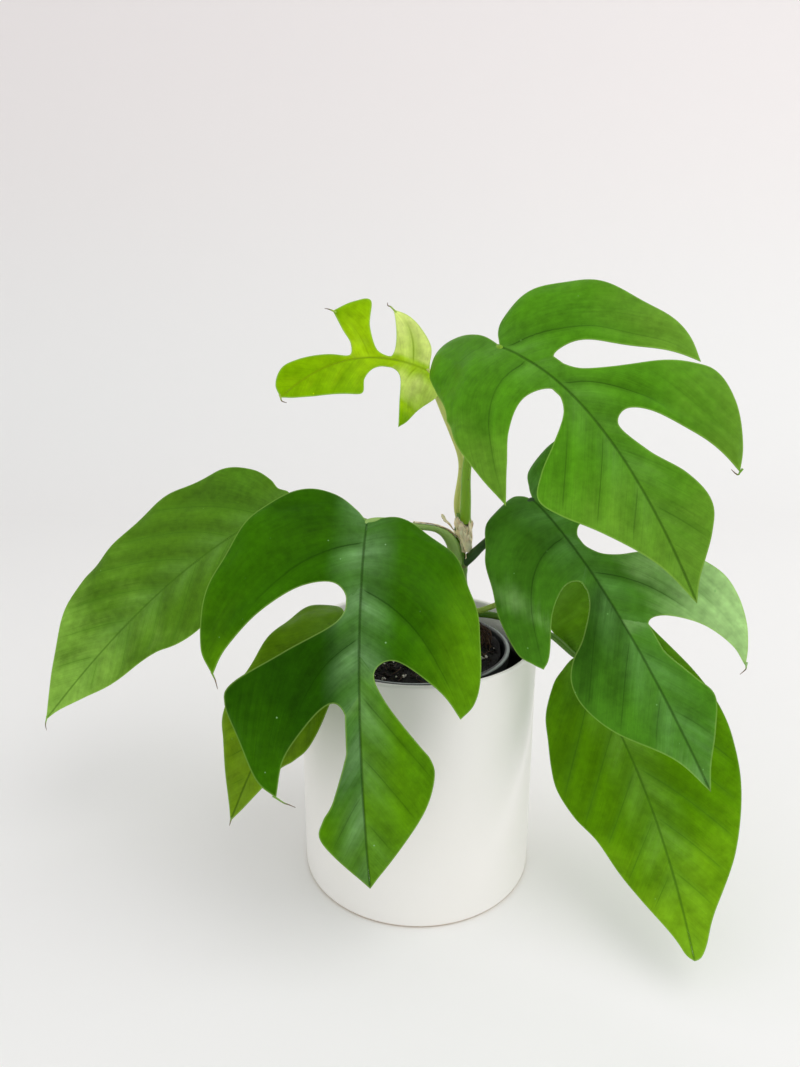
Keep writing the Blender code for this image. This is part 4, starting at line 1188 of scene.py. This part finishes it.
def petiole_line(leaf, per_span):
    """The petiole's path and radii, from beside the stem to a slim rib under the blade.

    The rib's top sinks below the blade's middle surface by the depth of the midrib's crease,
    so that only the knuckle at the notch shows above it.
    """
    along, share = np.array(RIB).T
    along = along * leaf["length"]
    radius = leaf["radius"]
    crease_depth = RIB_CREASE * (1 - 0.5 * along / leaf["length"])
    sink = radius * share * 0.7 + (0.3 * radius * share + crease_depth + 0.28) * smooth_step(along / 7)
    rib = leaf_place(leaf, along, 0 * along, 1)
    across = leaf_place(leaf, along, 0 * along + 1, 1) - leaf_place(leaf, along, 0 * along + 1, -1)
    up = unit(np.cross(across, np.gradient(rib, axis=0)))
    rib = rib - up * sink[:, None]
    path = smooth_line(np.vstack([np.array(leaf["petiole"], float), rib]), per_span)
    foot = leaf.get("foot", PETIOLE_FOOT)
    width = np.concatenate([[foot, 1 + (foot - 1) * 0.75], np.ones(len(leaf["petiole"]) - 2), share])
    radii = smooth_line(radius * width[:, None], per_span)[:, 0]
    joint = (len(leaf["petiole"]) - 1) * per_span
    knee = bell(np.arange(len(radii)) - joint + 0.6 * per_span, 0.35 * per_span)
    return path, radii * (1 + 0.12 * knee)


class MONSTERA_OT_leaves(bpy.types.Operator):
    """Make every leaf: its blade with veins, its drip tips and its petiole"""

    bl_idname = "monstera.leaves"
    bl_label = "Leaves"

    def execute(self, context):
        plant = context.scene.monstera_plant
        cork = plant.cork

        def wall(given):
            """The blade's thickness, which grows from the margin's over the first 6 mm."""
            inwards = smooth_step(given["leaf"][:, 1] * MARGIN_REACH / 6)
            return (plant.margin + (plant.wall - plant.margin) * inwards) / MM

        for name, leaf in LEAVES.items():
            base = tuple(getattr(plant, name))
            skin = leaf["skin"]
            sheet = blade_sheet(leaf, plant.step / MM, plant.relief)
            blade = thick_sheet(name + "_blade", sheet, wall)
            title = name.replace("leaf_", "")
            spacing = leaf["laterals"] * MM
            upper = leaf_upper(f"waxy_upper_leaf_{title}", base, skin, spacing)
            under = leaf_under(f"matt_under_leaf_{title}", base, spacing)
            rim = plain_skin(f"leaf_margin_{title}", [c * 1.3 for c in linear(skin["tip"])], 0.5)
            add_piece(name + "_blade", blade, name, leaf["slot"], upper, under, rim, sharp=60)

            path, radii = petiole_line(leaf, 16)
            stalk = rod(path, radii, 20, groove=0.12)
            stalk[2]["mark"][:, 1] = stalk[2]["mark"][:, 0] * leaf.get("stripe", 0.0)
            green = linear(skin["stalk"])
            pale = times(green, leaf.get("pale", 1.5), 0.02)
            petiole = living_stem(f"petiole_skin_{title}", green, pale, cork)
            add_piece(name + "_petiole", stalk, name, leaf["slot"], petiole)
            tails = drip_tips(leaf)
            if tails:
                dry = living_stem(f"drying_tail_{title}", linear(skin["tip"]), pale, cork)
                add_piece(name + "_drip_tips", join(tails), name, leaf["slot"], dry)
        return {"FINISHED"}


class MONSTERA_OT_cover_pot(bpy.types.Operator):
    """Make the glazed cover pot, a turned cylinder with a thin rounded rim"""

    bl_idname = "monstera.cover_pot"
    bl_label = "Cover pot"

    def execute(self, context):
        pots = context.scene.monstera_pots
        outer = pots.radius / MM
        top = pots.height / MM
        inner = outer - POT_WALL
        middle = outer - POT_WALL / 2
        profile = np.vstack([
            [(0, POT_FLOOR)],
            arc((inner - FLOOR_ROUND, POT_FLOOR + FLOOR_ROUND), FLOOR_ROUND, -90, 0),
            arc((middle, top - RIM_ROUND), RIM_ROUND, 180, 0, 12),
            arc((outer - FOOT_ROUND, FOOT_ROUND), FOOT_ROUND, 0, -90),
            [(0, 0)],
        ])
        shape = turned(fine_profile(profile, PROFILE_STEP), 180)
        add_piece("cover_pot_body", shape, "cover_pot", "glazed_ceramic", glazed_ceramic(pots))
        return {"FINISHED"}


class MONSTERA_OT_nursery_pot(bpy.types.Operator):
    """Make the thin tapered nursery pot with its rolled rim and drain holes"""

    bl_idname = "monstera.nursery_pot"
    bl_label = "Nursery pot"

    def execute(self, context):
        pots = context.scene.monstera_pots
        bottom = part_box("nursery_pot")[0].z / MM
        top = pots.nursery_top / MM
        floor = bottom + 2
        band = top - NURSERY_RIM_HEIGHT
        wall = NURSERY_WALL
        rim = NURSERY_RIM_RADIUS
        lip = rim - NURSERY_RIM_WIDTH
        profile = np.vstack([
            [(0, floor), (nursery_radius(floor) - wall - 1, floor),
             (nursery_radius(floor) - wall, floor + 1), (nursery_radius(band) - wall, band),
             (lip, top - 2)],
            arc((lip + 0.8, top - 0.8), 0.8, 180, 90, 5),
            arc((rim - 0.6, top - 0.6), 0.6, 90, 0, 5),
            [(rim - 0.2, top - 2.2), (rim - 0.5, band + 0.5), (rim - 1.0, band),
             (nursery_radius(band), band), (nursery_radius(band * 0.62), band * 0.62),
             (nursery_radius(band * 0.6) - 0.5, band * 0.6), (NURSERY_BASE_RADIUS, bottom + 1),
             (NURSERY_BASE_RADIUS - 1, bottom), (0, bottom)],
        ])
        shape = oval(turned(fine_profile(profile, PROFILE_STEP), 144, NURSERY_CENTRE))
        piece = add_piece("nursery_pot_body", shape, "nursery_pot", "black_plastic",
                          black_plastic(pots))
        hole = np.array([(0, floor + 1), (DRAIN_RADIUS, floor + 1), (DRAIN_RADIUS, bottom - 1),
                         (0, bottom - 1)], float)
        for k in range(DRAIN_HOLES):
            centre = around_pot(DRAIN_CIRCLE, 2 * np.pi * k / DRAIN_HOLES)
            punch = show("punch", new_mesh("punch", *turned(hole, 24, centre)))
            cut = piece.modifiers.new("drain", "BOOLEAN")
            cut.operation = "DIFFERENCE"
            cut.object = punch
            graph = bpy.context.evaluated_depsgraph_get()
            piece.data = bpy.data.meshes.new_from_object(piece.evaluated_get(graph))
            piece.modifiers.clear()
            bpy.data.objects.remove(punch, do_unlink=True)
        piece.data.name = "nursery_pot_body"
        return {"FINISHED"}


def around_pot(distance, angle):
    """Places (x, y) at a distance and a turn from the nursery pot's middle."""
    return (NURSERY_CENTRE[0] + distance * np.cos(angle),
            NURSERY_CENTRE[1] + distance * np.sin(angle))


def oval(shape):
    """The nursery pot's or soil's shape, squeezed as by a hand: the distance from the pot's
    middle grows by OVAL * cos(2 * turn), in full at the rim and not at all at the base."""
    points, faces, attributes = shape
    x = points[:, 0] - NURSERY_CENTRE[0]
    y = points[:, 1] - NURSERY_CENTRE[1]
    rise = np.clip((points[:, 2] - 30) / 60, 0, 1)
    grow = 1 + OVAL * np.cos(2 * np.arctan2(y, x)) * rise
    points = np.stack([NURSERY_CENTRE[0] + x * grow, NURSERY_CENTRE[1] + y * grow, points[:, 2]], -1)
    return points, faces, attributes


def lumps(rng, count, sizes, radius, rise, flat):
    """Irregular grains strewn on the soil, each an icosahedron with its corners moved at random:
    centre + turn * (corner * size * stretch)."""
    golden = (1 + math.sqrt(5)) / 2
    corners = unit(np.array([(-1, golden, 0), (1, golden, 0), (-1, -golden, 0), (1, -golden, 0),
                             (0, -1, golden), (0, 1, golden), (0, -1, -golden), (0, 1, -golden),
                             (golden, 0, -1), (golden, 0, 1), (-golden, 0, -1), (-golden, 0, 1)], float))
    sides = np.array([(0, 11, 5), (0, 5, 1), (0, 1, 7), (0, 7, 10), (0, 10, 11), (1, 5, 9), (5, 11, 4),
                      (11, 10, 2), (10, 7, 6), (7, 1, 8), (3, 9, 4), (3, 4, 2), (3, 2, 6), (3, 6, 8),
                      (3, 8, 9), (4, 9, 5), (2, 4, 11), (6, 2, 10), (8, 6, 7), (9, 8, 1)])
    distance = radius * np.sqrt(rng.uniform(0, 1, count))
    x, y = around_pot(distance, rng.uniform(0, 2 * np.pi, count))
    size = rng.uniform(*sizes, count)
    centre = np.stack([x, y, soil_height(x, y) + rise * size], -1)
    turn = np.linalg.qr(rng.normal(size=(count, 3, 3)))[0]
    stretch = rng.uniform(flat, 1, (count, 1, 3))
    shape = corners[None] * (1 + rng.uniform(-0.25, 0.25, (count, 12, 1))) * stretch * size[:, None, None]
    points = centre[:, None] + np.einsum("nij,nkj->nki", turn, shape)
    clear = np.hypot(x - STEM_PATH[1][0], y - STEM_PATH[1][1]) > STEM_CLEAR
    points = points[clear]
    faces = (sides[None] + 12 * np.arange(len(points))[:, None, None]).reshape(-1, 3)
    return points.reshape(-1, 3), faces, {}


def fibres(rng, count, radius):
    """Thin curled fibres on the soil: each a rod along a short arc that rises and falls back."""
    parts = []
    for _ in range(count):
        distance = radius * math.sqrt(rng.uniform(0, 1))
        x, y = around_pot(distance, rng.uniform(0, 2 * math.pi))
        heading = rng.uniform(0, 2 * math.pi)
        step = rng.uniform(4, 13) / (FIBRE_POINTS - 1)
        share = np.linspace(0, 1, FIBRE_POINTS)
        course = heading + rng.uniform(-2.2, 2.2) * share
        x = x + np.cumsum(np.cos(course)) * step - NURSERY_CENTRE[0]
        y = y + np.cumsum(np.sin(course)) * step - NURSERY_CENTRE[1]
        x, y = around_pot(np.minimum(np.hypot(x, y), radius), np.arctan2(y, x))
        z = soil_height(x, y) + 0.3 + rng.uniform(0.2, 2.2) * np.sin(np.pi * share)
        thick = np.full(FIBRE_POINTS, rng.uniform(0.1, 0.24))
        parts.append(rod(np.stack([x, y, z], -1), thick, 5))
    return join(parts)


def dry_roots():
    """Thin curled roots from the stem's hidden lower node to the soil at its right: each is a
    straight line with three sine sways that vanish at both ends."""
    rng = np.random.default_rng(5)
    parts = []
    for _ in range(ROOT_COUNT):
        share = np.linspace(0, 1, ROOT_POINTS)[:, None]
        start = np.array(ROOT_START) + rng.uniform(-1.8, 1.8, 3)
        end = np.array([rng.uniform(30, 39), rng.uniform(1, 10), 118.3])
        sway = np.stack([2.6 * np.sin(share[:, 0] * rng.uniform(4, 11) + rng.uniform(0, 3)) + 2.2,
                         1.4 * np.sin(share[:, 0] * rng.uniform(4, 11) + rng.uniform(0, 6)),
                         2.0 * np.sin(share[:, 0] * 9 + rng.uniform(0, 6))], -1)
        line = start + (end - start) * share + sway * np.sin(np.pi * share)
        parts.append(rod(line, np.full(ROOT_POINTS, rng.uniform(0.14, 0.42)), 6))
    return parts


class MONSTERA_OT_soil(bpy.types.Operator):
    """Make the potting mix: a crumbly surface with bark crumbs, perlite grains and coir fibres"""

    bl_idname = "monstera.soil"
    bl_label = "Soil"

    def execute(self, context):
        pots = context.scene.monstera_pots
        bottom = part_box("soil")[0].z / MM
        edge = SOIL_TOP - 3.0
        wall_bottom, wall_top = (nursery_radius(z) - NURSERY_WALL - 0.5 for z in (bottom, edge))
        rings = np.linspace(1, 0, 60)
        profile = np.vstack([[(0, bottom), (wall_bottom, bottom), (wall_top, edge)],
                             np.stack([wall_top * rings, 0 * rings + SOIL_TOP], -1)])
        points, faces, attributes = turned(profile, 220, NURSERY_CENTRE)
        top = points[:, 2] > edge + 1
        x, y = points[top, 0], points[top, 1]
        rough = (np.sin(2.1 * x + 1.3 * y) * np.sin(1.7 * y - 0.9 * x + 2)
                 + 0.6 * np.sin(4.3 * x - 2.2 * y) * np.sin(3.9 * y + 1.4 * x))
        points[top, 2] = soil_height(x, y) + 0.35 * rough - 0.3
        rng = np.random.default_rng(11)
        pieces = {
            "soil_bed": (oval((points, faces, attributes)), 50,
                         ("moist_peat_mix", pots.peat, times(pots.peat, 3, 0.002), 700.0, 0.95)),
            "bark_crumbs": (lumps(rng, pots.crumbs, (0.4, 1.7), wall_top - 1.5, 0.1, 0.35), 25,
                            ("bark_crumbs", pots.peat, times(pots.coir, 0.22), 420.0, 0.9)),
            "perlite_grains": (lumps(rng, pots.grains, (0.4, 1.1), wall_top - 2, 0.5, 0.6), 25,
                               ("perlite_grains", pots.perlite, times(pots.perlite, 0.8), 900.0, 0.85)),
            "coir_fibres": (join([fibres(rng, pots.fibres, wall_top - 2), *dry_roots()]), 50,
                            ("coir_fibres", times(pots.coir, 0.35), pots.coir, 500.0, 0.85)),
        }
        for name, (shape, sharp, finish) in pieces.items():
            add_piece(name, shape, "soil", "potting_soil", crumbly_mix(*finish), sharp=sharp)
        return {"FINISHED"}


def torn_flap(spread, heights, flare, ripple):
    """A papery flap on a grid of shares: a patch between two angles and two heights, round a
    line that leans to the left as it rises. It narrows and opens out towards its torn top,
    and is crumpled by waves across and up it. Mark's red is 1 along its edges."""
    turn = np.linspace(-0.5, 0.5, 34)[None, :]
    share = np.linspace(0, 1, 30)[:, None]
    middle, sweep = np.radians(spread)
    angle = middle + sweep * turn * (1 - 0.3 * share ** 1.5)
    bottom, top = heights
    torn = top - 2.2 * np.abs(2 * turn) ** 2 - 0.9 * np.abs(np.sin(19 * turn + ripple))
    height = bottom + (torn - bottom) * share
    size = (SHEATH_RADIUS + (flare - SHEATH_RADIUS) * share ** 1.2
            + 0.35 * share * np.sin(ripple + 9 * angle)
            + 0.4 * share * np.sin(13 * share + 5 * angle + ripple))
    x = SHEATH_FOOT[0] - SHEATH_LEAN * (height - SHEATH_FOOT[2]) + size * np.cos(angle)
    y = SHEATH_FOOT[1] + size * np.sin(angle)
    edge = np.maximum(smooth_step((np.abs(turn) - 0.4) / 0.1), smooth_step((share - 0.9) / 0.1))
    skin = (size * np.cos(angle), size * np.sin(angle), height)
    return skinned(np.stack([x, y, height], -1), skin, edge)


def add_paper(name, sheet, material, node):
    """Show an open sheet as a piece of dried sheath with an even wall."""
    made = thick_sheet(name, sheet, lambda given: np.full(len(given["skin"]), PAPER_WALL))
    made.polygons.foreach_set("material_index", np.zeros(len(made.polygons), np.int32))
    add_piece(name, made, node, "dried_sheath", material)


class MONSTERA_OT_stem(bpy.types.Operator):
    """Make the stem with its nodes and root stubs, and the dried sheaths on it"""

    bl_idname = "monstera.stem"
    bl_label = "Stem and sheaths"

    def execute(self, context):
        plant = context.scene.monstera_plant
        skin = living_stem("living_stem_skin", plant.stem, times(plant.stem, 1.6, 0.03), plant.cork)
        path, radii = stem_line(40)
        for height, _ in STEM_NODES:
            radii = radii + 0.22 * bell(path[:, 2] - height - 1.2, 0.7) - 0.15 * bell(
                path[:, 2] - height + 0.6, 0.6)
        points, faces, attributes = rod(path, radii, 32)
        for height, _ in STEM_NODES:
            attributes["mark"][:, 1] = np.maximum(attributes["mark"][:, 1],
                                                  0.75 * bell(points[:, 2] - height - 1.2, 0.9))
        stubs = [(points, faces, attributes)]
        for height, turn in ROOT_STUBS:
            k = int(np.abs(path[:, 2] - height).argmin())
            away = np.array([np.cos(np.radians(turn)), np.sin(np.radians(turn)), -0.5])
            share = np.linspace(0, 1, 6)[:, None]
            line = path[k] + away * (radii[k] - 1 + 3.6 * share)
            stub = rod(line, 0.75 - 0.35 * share[:, 0], 10)
            stub[2]["mark"][:, 1] = 0.9
            stubs.append(stub)
        add_piece("stem_body", join(stubs), "stem", "stem_skin", skin)

        dry = dried_sheath(plant)
        flaps = [torn_flap(*flap) for flap in SHEATH_FLAPS]
        add_paper("stem_sheath_flaps", join(flaps), dry, "stem_sheath")

        leaf = LEAVES["leaf_front_left"]
        line, thick = petiole_line(leaf, 16)
        stalk = 16 * (len(leaf["petiole"]) - 1)
        index = np.arange(len(line))
        share = np.linspace(0, 1, 80)
        place = stalk * (0.1 + 0.62 * share)
        middle = np.stack([np.interp(place, index, line[:, k]) for k in range(3)], -1)
        forward = unit(np.gradient(middle, axis=0))
        across = unit(np.cross(forward, np.array([0.0, 0.0, 1.0])))
        up = np.cross(across, forward)
        width = 0.28 + 0.72 * (1 - share) ** 1.7 - 0.1 * np.abs(np.sin(31 * share)) * (1 - share)
        turn = np.linspace(-0.5, 0.5, 22)[None, :]
        angle = np.radians(160) * width[:, None] * turn
        lifted = 0.45 + 1.6 * ((1 - share) ** 3)[:, None] * (0.6 + np.abs(2 * turn) ** 2)
        crinkle = 0.2 * np.sin(9 * angle + 14 * share[:, None])
        size = np.interp(place, index, thick)[:, None] + lifted + crinkle
        grid = (middle[:, None] + (size * np.sin(angle))[..., None] * across[:, None]
                + (size * np.cos(angle))[..., None] * up[:, None])
        edge = np.maximum(smooth_step((np.abs(turn) - 0.38) / 0.1),
                          smooth_step(share * 1.6 - 0.3)[:, None])
        strip = skinned(grid, (size * np.sin(angle), size * np.cos(angle), place[:, None]), edge)
        add_paper("petiole_sheath_strip", strip, dry, "petiole_sheath")
        return {"FINISHED"}


class MONSTERA_OT_shoot(bpy.types.Operator):
    """Make the young leaf, still rolled to a point on its own stalk"""

    bl_idname = "monstera.shoot"
    bl_label = "Young shoot"

    def execute(self, context):
        plant = context.scene.monstera_plant
        path = smooth_line(SHOOT_PATH, 16)
        radii = smooth_line(np.array(SHOOT_RADII)[:, None], 16)[:, 0]
        skin = living_stem("rolled_young_leaf", linear(SHOOT_GREEN), linear(SHOOT_PALE), plant.cork)
        shape = rod(path, radii, 20, groove=0.2)
        add_piece("young_shoot_roll", shape, "young_shoot", "new_leaf", skin)
        return {"FINISHED"}


class MONSTERA_OT_stage(bpy.types.Operator):
    """Make the white floor and backdrop, the soft lights and the camera"""

    bl_idname = "monstera.stage"
    bl_label = "Studio"

    def execute(self, context):
        settings = context.scene.monstera_stage
        scene = context.scene
        depth = np.concatenate([np.linspace(-3, 0.7, 8), 0.7 + 0.5 * np.sin(np.linspace(0, np.pi / 2, 16)),
                                [1.2, 1.2]])
        rise = np.concatenate([np.zeros(8), 0.5 - 0.5 * np.cos(np.linspace(0, np.pi / 2, 16)), [1.5, 3.0]])
        across = np.linspace(-3, 3, 5)[None, :]
        grid = np.stack(np.broadcast_arrays(across, depth[:, None], rise[:, None]), -1)
        mesh = bpy.data.meshes.new("studio_sweep")
        mesh.from_pydata(grid.reshape(-1, 3).tolist(), [],
                         grid_quads(len(depth), 5)[:, ::-1].tolist())
        mesh.shade_smooth()
        sweep = show("studio_sweep", mesh)
        paper, node = start_material("matt_white_studio_paper", 0.9)
        height = node("SeparateXYZ", node("TexCoord").outputs["Object"]).outputs["Z"]
        rising = node("MapRange.SMOOTHSTEP", height, 0.05, 0.8)
        tint = node("Mix.RGBA", rising, settings.floor, linear(BACKDROP))
        mesh.materials.append(finish_material(paper, tint))

        world = bpy.data.worlds.new("studio_room")
        scene.world = world
        world.use_nodes = True
        back = world.node_tree.nodes["Background"]
        back.inputs["Color"].default_value = ROOM_LIGHT
        back.inputs["Strength"].default_value = settings.sky
        for name, (place, aim, size) in LIGHTS.items():
            lamp = bpy.data.lights.new(name, "AREA")
            lamp.energy = getattr(settings, name)
            lamp.shape = "DISK"
            lamp.size = size
            light = show(name, lamp)
            light.location = place
            toward = np.array(aim) - np.array(place)
            light.rotation_euler = (math.atan2(np.hypot(toward[0], toward[1]), -toward[2]), 0,
                                    math.atan2(toward[1], toward[0]) - math.pi / 2)

        lens = bpy.data.cameras.new("photo_camera")
        lens.lens = lens.sensor_width * IMAGE_SIZE[0] / IMAGE_SIZE[1]
        lens.clip_start = 0.01
        camera = show("photo_camera", lens)
        camera.location = CAMERA_PLACE
        camera.rotation_euler = (math.radians(90 - CAMERA_DOWN), 0.0, math.radians(CAMERA_TURN))
        scene.camera = camera
        scene.view_settings.view_transform = "Standard"
        return {"FINISHED"}


class MONSTERA_PT_panel(bpy.types.Panel):
    """Lists the parts of the plant and their settings"""

    bl_label = "Potted mini monstera"
    bl_idname = "MONSTERA_PT_panel"
    bl_space_type = "VIEW_3D"
    bl_region_type = "UI"
    bl_category = "Monstera"

    def draw(self, context):
        for operator in OPERATORS:
            self.layout.operator(operator.bl_idname)
        for name in GROUPS:
            group = getattr(context.scene, name)
            box = self.layout.box()
            for key in group.__annotations__:
                box.prop(group, key)


OPERATORS = (MONSTERA_OT_cover_pot, MONSTERA_OT_nursery_pot, MONSTERA_OT_soil, MONSTERA_OT_stem,
             MONSTERA_OT_leaves, MONSTERA_OT_shoot, MONSTERA_OT_stage)
GROUPS = {"monstera_pots": MONSTERA_PG_pots, "monstera_plant": MONSTERA_PG_plant,
          "monstera_stage": MONSTERA_PG_stage}


def register():
    for group in GROUPS.values():
        bpy.utils.register_class(group)
    for operator in (*OPERATORS, MONSTERA_PT_panel):
        bpy.utils.register_class(operator)
    for name, group in GROUPS.items():
        setattr(bpy.types.Scene, name, PointerProperty(type=group))


def unregister():
    for name in GROUPS:
        delattr(bpy.types.Scene, name)
    for item in (MONSTERA_PT_panel, *reversed(OPERATORS), *reversed(GROUPS.values())):
        bpy.utils.unregister_class(item)


def main():
    """Make every piece in order."""
    register()
    bpy.ops.monstera.cover_pot()
    bpy.ops.monstera.nursery_pot()
    bpy.ops.monstera.soil()
    bpy.ops.monstera.stem()
    bpy.ops.monstera.leaves()
    bpy.ops.monstera.shoot()
    bpy.ops.monstera.stage()


if __name__ == "__main__":
    main()
